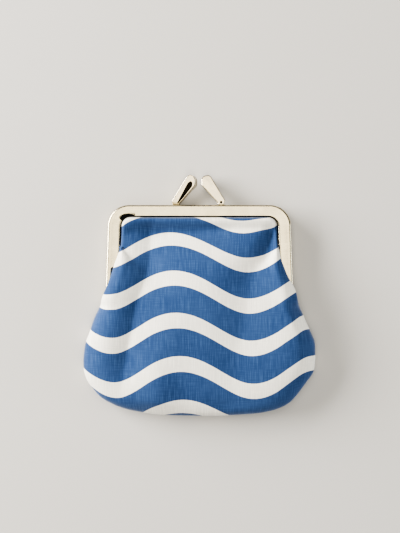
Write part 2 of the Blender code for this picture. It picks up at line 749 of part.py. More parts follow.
def main():
    clear_scene()
    purse = new_collection("kiss_lock_coin_purse")
    cutters = new_collection("cutters", hidden=True)
    nickel = plain_material("nickel", (0.78, 0.74, 0.66), 0.22, 1.0)
    clasp_nickel = plain_material("clasp_nickel", (0.80, 0.77, 0.70), 0.18, 1.0)
    cotton = plain_material("striped_cotton", (0.10, 0.22, 0.47), 0.85, 0.0)
    front_slot, back_slot = tenon_x(FRONT_REACH), tenon_x(BACK_REACH)
    frame_half("frame_front", purse, cutters, nickel, front_slot, bitten=True)
    back = frame_half("frame_back", purse, cutters, nickel, back_slot, bitten=False)
    finger("clasp_front", purse, cutters, clasp_nickel, FRONT_REACH)
    back_finger = finger("clasp_back", purse, cutters, clasp_nickel, BACK_REACH)
    for thing in (back, back_finger):
        for step in thing.modifiers:
            if step.type == "BOOLEAN":
                turn_to_back(step.object)
                for inner in step.object.modifiers:
                    turn_to_back(inner.object)
        turn_to_back(thing)
    rivet("rivet_left", purse, nickel, -1)
    rivet("rivet_right", purse, nickel, 1)
    panel("bag_front", purse, cotton, whole_rim(front_side), front_height, 1)
    panel("bag_back", purse, cotton, whole_rim(back_side), back_height, -1)


main()
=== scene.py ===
"""Looks of a kiss lock coin purse: wave striped cotton on a nickel plated frame, lying on its back.

X runs to the right across the purse, Y from the bottom of the bag up to the clasp, Z up. Metres.
"""

import math

import bmesh
import bpy
import numpy as np
from mathutils import Matrix, Quaternion, Vector
from mathutils.bvhtree import BVHTree


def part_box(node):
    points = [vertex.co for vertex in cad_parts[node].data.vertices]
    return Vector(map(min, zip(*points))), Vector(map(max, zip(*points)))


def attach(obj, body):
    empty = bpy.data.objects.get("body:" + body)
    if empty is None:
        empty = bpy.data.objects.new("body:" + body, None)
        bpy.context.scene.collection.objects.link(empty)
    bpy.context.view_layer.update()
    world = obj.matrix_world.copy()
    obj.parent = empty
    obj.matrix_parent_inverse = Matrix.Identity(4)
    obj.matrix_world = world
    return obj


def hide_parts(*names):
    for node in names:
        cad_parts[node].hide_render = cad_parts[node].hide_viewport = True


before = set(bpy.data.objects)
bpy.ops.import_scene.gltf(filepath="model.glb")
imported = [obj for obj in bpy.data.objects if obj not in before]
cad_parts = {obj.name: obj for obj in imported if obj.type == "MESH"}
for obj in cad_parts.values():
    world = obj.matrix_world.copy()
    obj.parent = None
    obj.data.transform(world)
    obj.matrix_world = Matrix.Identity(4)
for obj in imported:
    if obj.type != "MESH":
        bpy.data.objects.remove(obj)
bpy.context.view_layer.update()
FRONT_LOW, FRONT_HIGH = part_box("frame_front")

# Frame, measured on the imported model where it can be
FRAME_WIDTH = FRONT_HIGH.x - FRONT_LOW.x
FRAME_RISE = FRONT_HIGH.y
LEG_TAIL = -FRONT_LOW.y
FRAME_DEPTH = FRONT_HIGH.z
MIDDLE = FRAME_DEPTH / 2
SHOULDER_WIDTH = 0.0832
LEG_UPRIGHT = 0.0050
CORNER_RADIUS = 0.0096
SHEET = 0.0006
HALVES_GAP = 0.0004
BEND_RADIUS = 0.0010
TOP_FLANGE = 0.0048
LEG_FLANGE = 0.0055
WINDOW_RADIUS = 0.0048
CUTBACK_RISE = 0.0133
RIGHT_CUTBACK_RISE = 0.0076
CUTBACK_FLANGE = 0.0023
STEP_ROUNDING = 0.0004
BITE_WIDTH = 0.0074
BITE_HEIGHT = 0.0040
BITE_DEPTH = 0.0011
BITE_ACROSS = 0.0323
FLANGE_CROWN = 0.00007
CRIMP = 0.00010
CRIMP_REACH = 0.0010
FRAME_STATION = 0.0008
BITE_STATION = 0.0002
REACH_STEP = 0.00002
ROUNDING_SHARES = (0.0, 0.03, 0.15, 0.4, 0.7)
FLANGE_SHARES = (0.1, 0.25, 0.45, 0.65, 0.8, 0.9, 1.0)
TIP_FULLNESS = 0.8
CORNER_STEPS = 44
BEND_STEPS = 6
SHARP_ANGLE = 38
ROD_SIDES = 40

# Hinge
LUG_RADIUS = 0.0022
LUG_SHEET = 0.0005
LUG_GAP = 0.0003
RIVET_RADIUS = 0.0007
RIVET_HEAD_RADIUS = 0.0016
RIVET_HEAD = 0.0005
RIVET_TAIL_RADIUS = 0.0012
RIVET_TAIL = 0.0004
HEAD_RIM = 0.25
HEAD_STEPS = 8
TAIL_SHAPE = ((1.0, 0.5), (0.8, 0.9), (0.0, 1.0))
RIVET_SIDES = 48
LUG_STEPS = 24

# Clasp fingers, with shares of a finger's reach or rise
FINGER_RISE = 0.0139
FINGER_DEPTH = 0.0034
FINGER_SKIN = 0.0005
FINGER_EDGE = 0.00045
FRONT_REACH = 0.0109
BACK_REACH = 0.0118
KISS_GAP = 0.0018
KISS_SLANT = 0.0011
KISS_FACE = 0.15
SLANT_GROWTH = 1.6
SLANT_LOSS = 0.4
CROSSING = 0.0029
PIN_HOLE_RADIUS = 0.0006
PIN_HOLE_DEPTH = 0.0009
PIN_HOLE_SHARE = 0.09
TENON_WIDTH = 0.0012
TENON_SHARE = 0.05

# Bag
BAG_WIDTH = 0.1058
BAG_DROP = 0.0551
BAG_CROWN = 0.0168
SEAM_HEIGHT = 0.0050
SEAM_GAP = 0.0002
HEM_INSET = 0.0019
LEAVE_RISE = 0.0245
BACK_LEAVE_RISE = 0.0046
CREST_DROP = 0.0140
CLOTH = 0.0009
FRONT_HEM_GAP = 0.0010
BACK_HEM_GAP = 0.0003
OVER_LEG = 0.0016
HEM_BAR_SHARES = (0.0, 0.34, 0.67)
HEM_CORNER_STEPS = 8

# Cotton, and its print on the flat cloth in mm
STRIPE_PITCH = 19.05
STRIPE_WHITE = 6.8
STRIPE_START = 2.0
WAVE_LENGTH = 64.6
WAVE_HEIGHT = 6.0
WAVE_PEAKING = -0.26
WAVE_CREST = -10.2
WAVE_DRIFT = -0.06
STRETCH_MIDDLE = -10.0
STRETCH_REACH = 30.0
STRETCH = 0.68
TILT = 0.58
TWIST = 0.50
PRINT_SOFTNESS = 0.12
PRINT_BLEED = 0.25
THREAD = 0.42
SHEEN = 0.55
SHEEN_ROUGHNESS = 0.35
BLUE_DEEP = (0.022, 0.055, 0.148, 1.0)
BLUE_FADED = (0.052, 0.106, 0.236, 1.0)
WHITE = (0.90, 0.87, 0.79, 1.0)
WHITE_SHADE = (0.76, 0.73, 0.66, 1.0)
# Near black painted shade for the cotton where it goes down into the frame's channel
CHANNEL_PAINTED_SHADE = (0.010, 0.011, 0.013, 1.0)
BLEED_SCALE = 1.7
PATCH_SCALE = 0.05
PATCHES = (0.35, 0.65, 0.0, 0.25)
WARP = (2.4, 0.12, 1.0)
WEFT = (0.14, 2.2, 1.0)
WARP_SHARE = 0.7
WEFT_SHARE = 0.3
FADING = (0.40, 0.72)
WEAVE_RELIEF = 0.25
WARP_RELIEF = 0.9
CLOTH_BUMP = {"Strength": 0.5, "Distance": 0.00012}
CLOTH_ROUGHNESS = 0.85
CLOTH_SPECULAR = 0.25
MAP_STEP = 0.0010
MAP_BLUR = 4
GRAIN_LINE = 0.0100

# Metal
METALS = (
    # name, colour, roughness, more of it where worn
    ("nickel_plate", (0.545, 0.483, 0.345, 1.0), 0.20, 0.10),
    ("bright_nickel", (0.575, 0.51, 0.38, 1.0), 0.14, 0.08),
    # near black painted shade for the walls of the fingers' slit and pin hole, not a metal colour
    ("cut_painted_shade", (0.035, 0.030, 0.022, 1.0), 0.55, 0.20),
)
CLOUD_SCALE = 160.0
RUBBING = (60.0, 1400.0, 900.0)
CLOUD_SHARE = 0.6
RUBBED_SHARE = 0.4
WORN = (0.3, 0.7)
METAL_SHADE = 0.93
METAL_BUMP = {"Strength": 0.08, "Distance": 0.00005}

# Studio
FLOOR_COLOUR = (0.55, 0.53, 0.50, 1.0)
FLOOR_ROUGHNESS = 0.9
FLOOR_HALF = 2.0
FLOOR_GAP = 0.00005
SKY_COLOUR = (0.86, 0.92, 1.0, 1.0)
SKY_STRENGTH = 0.15
LIGHTS = (
    # name, place, size, power, colour
    ("window", (-0.92, 0.36, 0.38), (0.85, 0.45), 27.0, (1.0, 0.98, 0.95)),
    ("ceiling", (0.0, 0.0, 0.95), (0.55, 1.60), 7.0, (1.0, 0.94, 0.82)),
    ("fill", (0.80, -0.10, 0.20), (0.40, 0.40), 2.5, (0.86, 0.93, 1.0)),
)
EXPOSURE = 0.22
TONE_LOOK = "AgX - High Contrast"

# Camera, with the photograph's frame of 400 x 533 pixels
IMAGE_TALL = 533
PIXEL = 0.0004526
CAMERA_RISE = 0.40
CAMERA_X = 0.0003
CAMERA_Y = 0.0130

HALF_BOTTOM = MIDDLE + HALVES_GAP / 2
HALF_MIDDLE = (HALF_BOTTOM + FRAME_DEPTH) / 2
INNER_LUG_INSET = SHEET + LUG_GAP
CUT = 0.002
SAME_PLACE = 0.000002


def place(name, mesh, material=None):
    """A new object in the scene."""
    thing = bpy.data.objects.new(name, mesh)
    bpy.context.scene.collection.objects.link(thing)
    if material:
        mesh.materials.append(material)
    return thing


def mesh_of(name, points, faces, smooth=True):
    mesh = bpy.data.meshes.new(name)
    mesh.from_pydata([tuple(point) for point in points], [], faces)
    work = bmesh.new()
    work.from_mesh(mesh)
    bmesh.ops.recalc_face_normals(work, faces=work.faces)
    work.to_mesh(mesh)
    work.free()
    if smooth:
        mesh.shade_smooth()
    return mesh


def mesh_from(work, name):
    """The mesh of a finished bmesh."""
    mesh = bpy.data.meshes.new(name)
    work.to_mesh(mesh)
    work.free()
    return mesh


def tree_of(mesh):
    """A mesh's faces, ready for nearest point and ray tests."""
    work = bmesh.new()
    work.from_mesh(mesh)
    tree = BVHTree.FromBMesh(work)
    work.free()
    return tree


def points_of(mesh):
    """A mesh's points as the rows of an array."""
    spots = np.zeros(len(mesh.vertices) * 3)
    mesh.vertices.foreach_get("co", spots)
    return spots.reshape(-1, 3)


def bands(rings, count):
    """Faces between each closed ring of points and the next."""
    faces = []
    for low in range(0, (rings - 1) * count, count):
        for n in range(count):
            m = (n + 1) % count
            faces.append((low + n, low + m, low + count + m, low + count + n))
    return faces


def blend(a, b, share):
    return a + (b - a) * share


def smooth_step(value, low, high):
    """0 below low, 1 above high, and a smooth rise between them."""
    share = np.clip((value - low) / (high - low), 0.0, 1.0)
    return share * share * (3 - 2 * share)


def quarter_turn(steps):
    """Angles from zero to a right angle."""
    return [math.pi / 2 * n / steps for n in range(steps + 1)]


def apply_modifiers(thing):
    """Turns a piece's modifiers into its mesh."""
    bpy.context.view_layer.update()
    depsgraph = bpy.context.evaluated_depsgraph_get()
    mesh = bpy.data.meshes.new_from_object(thing.evaluated_get(depsgraph))
    thing.modifiers.clear()
    thing.data = mesh
    return thing


def carve(thing, mesh, operation):
    """An exact Boolean of the piece with a mesh."""
    tool = place("tool", mesh)
    step = thing.modifiers.new("carve", "BOOLEAN")
    step.operation = operation
    step.solver = "EXACT"
    step.object = tool
    apply_modifiers(thing)
    bpy.data.objects.remove(tool, do_unlink=True)


def box_mesh(low, high):
    work = bmesh.new()
    bmesh.ops.create_cube(work, size=1.0)
    bmesh.ops.scale(work, verts=work.verts, vec=[b - a for a, b in zip(low, high)])
    bmesh.ops.translate(work, verts=work.verts, vec=[(a + b) / 2 for a, b in zip(low, high)])
    return mesh_from(work, "box")


def rod_mesh(radius, start, end):
    """A round rod between two points."""
    start, end = Vector(start), Vector(end)
    along = end - start
    turn = along.to_track_quat("Z", "Y").to_matrix().to_4x4()
    work = bmesh.new()
    bmesh.ops.create_cone(
        work,
        cap_ends=True,
        segments=ROD_SIDES,
        radius1=radius,
        radius2=radius,
        depth=along.length,
        matrix=Matrix.Translation((start + end) / 2) @ turn,
    )
    return mesh_from(work, "rod")


def turn_to_back(mesh):
    """Turns a mesh made in the front half's place round into the back half's."""
    turn = Matrix.Translation((0, 0, MIDDLE)) @ Matrix.Rotation(math.pi, 4, "Y")
    mesh.transform(turn @ Matrix.Translation((0, 0, -MIDDLE)))


# Frame halves


def leg_half_width(height):
    """Middle of the purse to the outside of a leg, at a height over the hinge axis."""
    share = (height - LEG_UPRIGHT) / (FRAME_RISE - CORNER_RADIUS - LEG_UPRIGHT)
    return blend(FRAME_WIDTH, SHOULDER_WIDTH, np.clip(share, 0.0, 1.0)) / 2


def spread(low, high, spacing):
    """Evenly spaced values from low up to but not at high."""
    steps = max(1, round((high - low) / spacing))
    return [blend(low, high, n / steps) for n in range(steps)]


def leg_heights(step):
    """Heights of a leg's stations, close together where its flange is cut back."""
    heights = spread(-LEG_TAIL, step, FRAME_STATION)
    heights += [step + STEP_ROUNDING * share for share in ROUNDING_SHARES]
    return heights + spread(step + STEP_ROUNDING, FRAME_RISE - CORNER_RADIUS, FRAME_STATION)


def outside_stations():
    """Points round the outside of the U with the way inward, from the left foot to the right."""
    shoulder = FRAME_RISE - CORNER_RADIUS
    half = SHOULDER_WIDTH / 2
    left_leg = [((-leg_half_width(y), y), (1.0, 0.0)) for y in leg_heights(CUTBACK_RISE)]
    right_leg = [((leg_half_width(y), y), (-1.0, 0.0)) for y in leg_heights(RIGHT_CUTBACK_RISE)]
    left = []
    for turn in quarter_turn(CORNER_STEPS)[:-1]:
        angle = math.pi - turn
        away = (math.cos(angle), math.sin(angle))
        spot = (
            CORNER_RADIUS - half + CORNER_RADIUS * away[0],
            shoulder + CORNER_RADIUS * away[1],
        )
        left.append((spot, (-away[0], -away[1])))
    bar_start = CORNER_RADIUS - half
    bite_end = BITE_WIDTH / 2 - BITE_ACROSS + FRAME_STATION
    bar = spread(bar_start, bite_end, BITE_STATION) + spread(bite_end, 0.0, FRAME_STATION)
    left += [((x, FRAME_RISE), (0.0, -1.0)) for x in bar]
    right = [((-x, y), (-dx, dy)) for (x, y), (dx, dy) in reversed(left)]
    return left_leg + left + [((0.0, FRAME_RISE), (0.0, -1.0))] + right + right_leg[::-1]


def in_window(x, y, bitten):
    """Whether a point is in the frame's window, or in the bite."""
    if bitten:
        across = (x + BITE_ACROSS) / (BITE_WIDTH / 2)
        middle = FRAME_RISE - TOP_FLANGE + BITE_DEPTH - BITE_HEIGHT / 2
        up = (y - middle) / (BITE_HEIGHT / 2)
        if across * across + up * up < 1:
            return True
    return window_depth(abs(x), y) > 0


def window_depth(x, y):
    """Distance in from the window's edge, positive inside, for x at or above zero."""
    side = leg_half_width(y) - LEG_FLANGE - x
    top = FRAME_RISE - TOP_FLANGE - y
    off_side = np.maximum(WINDOW_RADIUS - side, 0.0)
    off_top = np.maximum(WINDOW_RADIUS - top, 0.0)
    corner = WINDOW_RADIUS - np.hypot(off_side, off_top)
    return np.where((off_side > 0) & (off_top > 0), corner, np.minimum(side, top))


def flange_reach(spot, inward, bitten):
    """How far the flange reaches in from a station on the outside."""
    height = spot[1]
    step = CUTBACK_RISE if spot[0] < 0 else RIGHT_CUTBACK_RISE
    if height < step:
        return CUTBACK_FLANGE
    reach = CUTBACK_FLANGE
    while not in_window(spot[0] + inward[0] * reach, height + inward[1] * reach, bitten):
        reach += REACH_STEP
    past = (height - step) / STEP_ROUNDING
    if inward[1] == 0.0 and past < 1:
        reach -= STEP_ROUNDING * (1 - math.sqrt(1 - (1 - past) ** 2))
    return reach


def channel_section(front, back):
    """The channel's closed cross section as (inward, up), for its two flanges' reaches."""
    low, high = HALF_BOTTOM, FRAME_DEPTH
    quarter = quarter_turn(BEND_STEPS)
    outer = BEND_RADIUS
    inner = BEND_RADIUS - SHEET

    def flange(reach, face, away):
        """Points from the bend to the tip on the outer face, then round the tip and back inside."""
        outside, inside = [], []
        for share in FLANGE_SHARES:
            inward = blend(outer, reach, share)
            sag = FLANGE_CROWN * (2 * share - 1) ** 2
            sag += CRIMP * max(0.0, 1 - (reach - inward) / CRIMP_REACH) ** 2
            outside.append((inward, face - away * sag))
            inside.append((inward, face - away * (sag + SHEET)))
        tip = []
        middle = outside[-1][1] - away * SHEET / 2
        for n in range(1, BEND_STEPS):
            angle = math.pi / 2 - math.pi * n / BEND_STEPS
            inward = reach + math.cos(angle) * SHEET / 2 * TIP_FULLNESS
            tip.append((inward, middle + away * math.sin(angle) * SHEET / 2))
        return outside + tip + inside[::-1]

    points = [(outer - outer * math.sin(a), high - outer + outer * math.cos(a)) for a in quarter[::-1]]
    points += flange(front, high, 1)
    points += [(outer - inner * math.sin(a), high - outer + inner * math.cos(a)) for a in quarter]
    points += [(outer - inner * math.cos(a), low + outer - inner * math.sin(a)) for a in quarter]
    points += flange(back, low, -1)[::-1]
    points += [(outer - outer * math.sin(a), low + outer - outer * math.cos(a)) for a in quarter]
    return points


def channel_mesh(name, bitten):
    """The bent channel of the front half, lofted along the U."""
    points = []
    stations = outside_stations()
    for spot, inward in stations:
        front = flange_reach(spot, inward, bitten)
        back = flange_reach(spot, inward, False)
        section = channel_section(front, back)
        for reach, up in section:
            points.append((spot[0] + inward[0] * reach, spot[1] + inward[1] * reach, up))
    count = len(section)
    faces = bands(len(stations), count)
    faces.append(tuple(range(count)))
    last = (len(stations) - 1) * count
    faces.append(tuple(range(last + count - 1, last - 1, -1)))
    return mesh_of(name, points, faces)


def lug_mesh(side, inset, top):
    """A round ended hinge lug across X, as one closed outline given its thickness."""
    outer = side * (FRAME_WIDTH / 2 - inset)
    inner = outer - side * LUG_SHEET
    outline = [(-LUG_RADIUS, top), (LUG_RADIUS, top)]
    for n in range(LUG_STEPS + 1):
        angle = math.pi * n / LUG_STEPS
        outline.append((LUG_RADIUS * math.cos(angle), MIDDLE - LUG_RADIUS * math.sin(angle)))
    count = len(outline)
    points = [(outer, y, z) for y, z in outline] + [(inner, y, z) for y, z in outline]
    faces = [tuple(range(count)), tuple(range(2 * count - 1, count - 1, -1))]
    faces += bands(2, count)
    return mesh_of("lug", points, faces, smooth=False)


def hinge_rooms():
    """Room in a half for the other half's lugs and for the rivet's tail."""
    half = FRAME_WIDTH / 2
    room = LUG_RADIUS + 1.5 * LUG_GAP
    found = []
    for side, inset in ((-1, SHEET + LUG_GAP / 2), (1, INNER_LUG_INSET + LUG_SHEET / 2)):
        edges = sorted((side * (half - inset), side * (half - LEG_FLANGE - CUT)))
        low = (edges[0], -LEG_TAIL - CUT, HALF_BOTTOM - CUT)
        high = (edges[1], room, HALF_BOTTOM + SHEET + LUG_GAP)
        found.append(box_mesh(low, high))
    ends = (half + CUT, 0, MIDDLE), (half - SHEET - LUG_GAP / 2, 0, MIDDLE)
    found.append(rod_mesh(room, *ends))
    return found


def frame_half(name, bitten, material):
    """One half of the frame, made in the front half's place."""
    half = place(name, channel_mesh(name, bitten))
    for mesh in hinge_rooms():
        carve(half, mesh, "DIFFERENCE")
    outer_lug = lug_mesh(-1, (SHEET - LUG_SHEET) / 2, HALF_MIDDLE)
    inner_lug = lug_mesh(1, INNER_LUG_INSET, FRAME_DEPTH - SHEET / 2)
    carve(half, outer_lug, "UNION")
    carve(half, inner_lug, "UNION")
    for side in (-1, 1):
        ends = (side * (FRAME_WIDTH / 2 + CUT), 0, MIDDLE), (side * (FRAME_WIDTH / 2 - CUT), 0, MIDDLE)
        carve(half, rod_mesh(RIVET_RADIUS + LUG_GAP, *ends), "DIFFERENCE")
    finish_metal(half, material)
    return half


def finish_metal(piece, material):
    """Smooth shading with crisp edges, and the piece's material."""
    piece.data.materials.clear()
    piece.data.materials.append(material)
    piece.data.shade_smooth()
    piece.data.set_sharp_from_angle(angle=math.radians(SHARP_ANGLE))


# Clasp

# A finger's outline and slit: share of the reach from the kissing face, share of the rise, radius
FINGER_OUTLINE = (
    (0.700, 0.010, 0.0002),
    (0.672, 0.080, 0.0006),
    (0.010, 0.655, 0.0014),
    (0.000, 0.860, 0.0016),
    (0.090, 0.970, 0.0016),
    (0.310, 1.004, 0.0014),
    (0.410, 0.945, 0.0012),
    (1.003, 0.150, 0.0009),
    (0.970, 0.070, 0.0005),
    (0.950, 0.010, 0.0002),
)
FINGER_SLIT = (
    (0.742, 0.075, 0.0002),
    (0.500, 0.305, 0.0020),
    (0.205, 0.625, 0.0005),
    (0.190, 0.740, 0.0004),
    (0.265, 0.800, 0.0003),
    (0.375, 0.730, 0.0010),
    (0.800, 0.075, 0.0002),
)
CORNER_POINTS = 9
CORNER_LIMIT = 0.45
EDGE_POINTS = 6


def rounded_outline(table, reach):
    """A finger table's closed outline in metres, with each corner replaced by an arc."""
    spots = [
        (Vector((KISS_GAP / 2 + across * reach, FRAME_RISE + up * FINGER_RISE)), radius)
        for across, up, radius in table
    ]
    outline = []
    for n, (corner, radius) in enumerate(spots):
        to_last = spots[n - 1][0] - corner
        to_next = spots[(n + 1) % len(spots)][0] - corner
        before, after = to_last.normalized(), to_next.normalized()
        limit = CORNER_LIMIT * min(to_last.length, to_next.length)
        back = min(radius / math.tan(before.angle(after) / 2), limit)
        start, end = corner + before * back, corner + after * back
        for k in range(CORNER_POINTS):
            share = k / (CORNER_POINTS - 1)
            near = start.lerp(corner, share)
            far = corner.lerp(end, share)
            outline.append(near.lerp(far, share))
    return outline


def shrunk(outline, inset):
    """The outline moved in by an inset, along its own corner directions."""
    moved = []
    count = len(outline)
    turn = sum(outline[n - 1].cross(outline[n]) for n in range(count))
    for n, spot in enumerate(outline):
        along = (outline[(n + 1) % count] - outline[n - 1]).normalized()
        inward = Vector((-along.y, along.x)) * (1 if turn > 0 else -1)
        moved.append(spot + inward * inset)
    return moved


def slab_mesh(name, outline, bottom, top, edge):
    """A closed slab of the outline whose long edges are rounded; a negative edge flares out."""
    turn = quarter_turn(EDGE_POINTS)
    levels = [(edge * (1 - math.sin(a)), bottom + abs(edge) * (1 - math.cos(a))) for a in turn]
    levels += [(edge * (1 - math.cos(a)), top - abs(edge) * (1 - math.sin(a))) for a in turn]
    count = len(outline)
    points = []
    for inset, height in levels:
        points += [(spot.x, spot.y, height) for spot in shrunk(outline, inset)]
    faces = bands(len(levels), count)
    faces.append(tuple(range(count - 1, -1, -1)))
    last = (len(levels) - 1) * count
    faces.append(tuple(range(last, last + count)))
    return mesh_of(name, points, faces)


def lean(mesh):
    """Leans a finger's mesh toward the other half, by its height above the top bar."""
    for spot in mesh.vertices:
        spot.co.z -= CROSSING * max(spot.co.y - FRAME_RISE, 0.0) / FINGER_RISE


def darken_cuts(body, cutters, material):
    """Gives the faces that a cutter has left on a piece a material of their own: near black painted shade for
    the walls of the slit and the pin hole.
    """
    body.data.materials.append(material)
    for cutter in cutters:
        tree = tree_of(cutter)
        for face in body.data.polygons:
            if tree.find_nearest(face.center)[3] < SAME_PLACE:
                face.material_index = 1


def finger(name, reach, material, cut_shade_material):
    """A hollow clasp finger, made in the front half's place with its slit side down."""
    bottom, top = HALF_MIDDLE - FINGER_DEPTH / 2, HALF_MIDDLE + FINGER_DEPTH / 2
    outline = rounded_outline(FINGER_OUTLINE, reach)
    mesh = slab_mesh(name, outline, bottom, top, FINGER_EDGE)
    kissing = KISS_GAP / 2 + KISS_FACE * reach
    for spot in mesh.vertices:
        if spot.co.x < kissing:
            depth = (HALF_MIDDLE - spot.co.z) / (FINGER_DEPTH / 2)
            slant = KISS_SLANT * min(max(depth, 0.0) * SLANT_GROWTH, 1.0)
            spot.co.x += slant * (1 - max(spot.co.x, 0.0) / kissing * SLANT_LOSS)
    lean(mesh)
    body = place(name, mesh)
    slit = rounded_outline(FINGER_SLIT, reach)
    tool = slab_mesh("slit", slit, bottom - CUT, top - FINGER_SKIN, 0.0)
    lean(tool)
    carve(body, tool, "DIFFERENCE")
    foot = (FINGER_OUTLINE[0][0] + FINGER_OUTLINE[-1][0]) / 2
    x, y = KISS_GAP / 2 + foot * reach, FRAME_RISE + PIN_HOLE_SHARE * FINGER_RISE
    hole = rod_mesh(PIN_HOLE_RADIUS, (x, y, top - PIN_HOLE_DEPTH), (x, y, top + CUT))
    carve(body, hole, "DIFFERENCE")
    half = TENON_WIDTH / 2
    low = (x - half, FRAME_RISE - SHEET / 2, HALF_MIDDLE - half)
    high = (x + half, FRAME_RISE + TENON_SHARE * FINGER_RISE, HALF_MIDDLE + half)
    carve(body, box_mesh(low, high), "UNION")
    finish_metal(body, material)
    # The slit's and pin hole's walls get the near black painted shade
    darken_cuts(body, (tool, hole), cut_shade_material)
    return body


def rivet(name, side, material):
    """A domed hinge rivet with its clenched tail."""
    foot = -LUG_GAP
    tail = INNER_LUG_INSET + LUG_SHEET + LUG_GAP
    profile = []
    for angle in quarter_turn(HEAD_STEPS):
        rise = RIVET_HEAD * (HEAD_RIM + (1 - HEAD_RIM) * math.cos(angle))
        profile.append((RIVET_HEAD_RADIUS * math.sin(angle), foot - rise))
    profile += [(RIVET_HEAD_RADIUS, foot), (RIVET_RADIUS, foot)]
    profile += [(RIVET_RADIUS, tail), (RIVET_TAIL_RADIUS, tail)]
    profile += [(RIVET_TAIL_RADIUS * wide, tail + RIVET_TAIL * up) for wide, up in TAIL_SHAPE]
    points = []
    for radius, inward in profile:
        for n in range(RIVET_SIDES):
            angle = 2 * math.pi * n / RIVET_SIDES
            x = side * (FRAME_WIDTH / 2 - inward)
            points.append((x, radius * math.cos(angle), MIDDLE + radius * math.sin(angle)))
    mesh = mesh_of(name, points, bands(len(profile), RIVET_SIDES))
    work = bmesh.new()
    work.from_mesh(mesh)
    bmesh.ops.remove_doubles(work, verts=work.verts, dist=SAME_PLACE)
    work.to_mesh(mesh)
    work.free()
    body = place(name, mesh)
    finish_metal(body, material)
    return body


# Bag

# The front panel's edge where it bulges over the legs
LEG_EDGE = (
    # height / FRAME_RISE, left and right / (FRAME_WIDTH / 2), lift from the seam to over the flange
    (0.440, 0.866, 0.858, 0.94),
    (0.385, 0.886, 0.870, 0.98),
    (0.325, 0.906, 0.893, 0.98),
    (0.203, 0.944, 0.941, 0.93),
    (0.115, 0.976, 0.993, 0.90),
    (0.037, 1.010, 1.026, 0.90),
    (-0.035, 1.035, 1.042, 0.86),
    (-0.080, 1.049, 1.056, 0.45),
)
# The front panel's edge where it comes out of the channel, above those rows
LEAVE_ROWS = (
    # drop below LEAVE_RISE / HEM_INSET, way from the hem's line to the window, lift, roundness
    (0.0, 0.45, 0.00, 0.00),
    (0.9, 0.95, 0.08, 0.25),
    (2.0, 1.00, 0.55, 0.60),
)
LEG_ROUNDNESS = 0.80
ROUNDNESS_GAIN = 0.6
OVER_GAIN = 1.1
ROUNDNESS_BLUR = 0.025
# The back panel's edge where it passes round the foot of a leg
FOOT_EDGE = (
    # height / FRAME_RISE, across / (FRAME_WIDTH / 2), lift from the back hem to the seam
    (-0.078, 0.930, 0.08),
    (-0.088, 0.980, 0.35),
    (-0.102, 1.030, 0.72),
)
# The seam below the hinge
SEAM_EDGE = (
    # drop / BAG_DROP, left and right / (BAG_WIDTH / 2)
    (0.093, 0.856, 0.862),
    (0.150, 0.887, 0.890),
    (0.222, 0.918, 0.920),
    (0.322, 0.952, 0.969),
    (0.388, 0.979, 0.996),
    (0.489, 0.996, 1.000),
    (0.555, 1.000, 0.996),
    (0.638, 0.992, 0.983),
    (0.713, 0.962, 0.930),
    (0.772, 0.918, 0.885),
    (0.838, 0.859, 0.832),
    (0.892, 0.771, 0.776),
    (0.941, 0.643, 0.678),
    (0.974, 0.469, 0.540),
    (0.990, 0.330, 0.360),
    (0.998, 0.130, 0.160),
)
# Valleys (plus) and ridges (minus) of the front panel that run down it, in mm.
# Rows: y, x, width on its left, width on its right, depth
LEFT_VALLEY = (
    (36.0, -22.0, 14.0, 14.0, 0.6),
    (27.0, -22.3, 15.0, 20.0, 2.6),
    (15.0, -22.3, 15.5, 27.0, 3.6),
    (8.7, -23.7, 16.5, 27.0, 3.8),
    (-2.0, -27.8, 15.0, 26.0, 3.7),
    (-11.0, -29.6, 13.5, 22.0, 3.5),
    (-30.0, -33.2, 12.0, 15.0, 2.5),
    (-42.0, -35.0, 11.0, 13.0, 0.6),
    (-50.0, -36.0, 10.0, 12.0, 0.0),
)
RIGHT_VALLEY = (
    (36.0, 36.0, 12.0, 4.0, 0.3),
    (30.5, 35.0, 12.0, 4.0, 1.3),
    (21.0, 32.0, 16.0, 6.0, 2.2),
    (15.0, 28.5, 18.0, 12.0, 2.5),
    (9.0, 25.5, 18.0, 18.0, 2.7),
    (3.8, 23.7, 18.0, 20.0, 2.7),
    (-11.0, 20.5, 16.0, 20.0, 2.0),
    (-25.0, 18.0, 16.0, 22.0, 1.4),
    (-40.0, 15.0, 16.0, 22.0, 0.8),
)
RIGHT_RIDGE = (
    (24.0, 37.5, 6.0, 4.0, 0.0),
    (12.0, 40.0, 8.5, 4.5, -1.2),
    (0.0, 42.0, 10.0, 6.0, -2.0),
    (-11.0, 43.6, 11.0, 7.0, -1.7),
    (-24.0, 45.0, 15.0, 8.0, -0.8),
    (-38.0, 44.0, 18.0, 8.0, -0.5),
)
CORNER_PLEAT = (
    (35.0, 36.3, 6.0, 3.0, 1.6),
    (29.0, 34.0, 7.0, 3.5, 2.6),
    (24.5, 32.2, 8.0, 4.5, 2.4),
    (20.0, 30.8, 9.0, 6.0, 1.2),
    (14.0, 29.5, 9.0, 7.0, 0.0),
)
BOTTOM_RIDGE = (
    (-18.0, -16.0, 16.0, 14.0, 0.0),
    (-40.0, -19.0, 16.0, 14.0, -1.6),
    (-55.0, -20.0, 16.0, 14.0, -1.4),
)
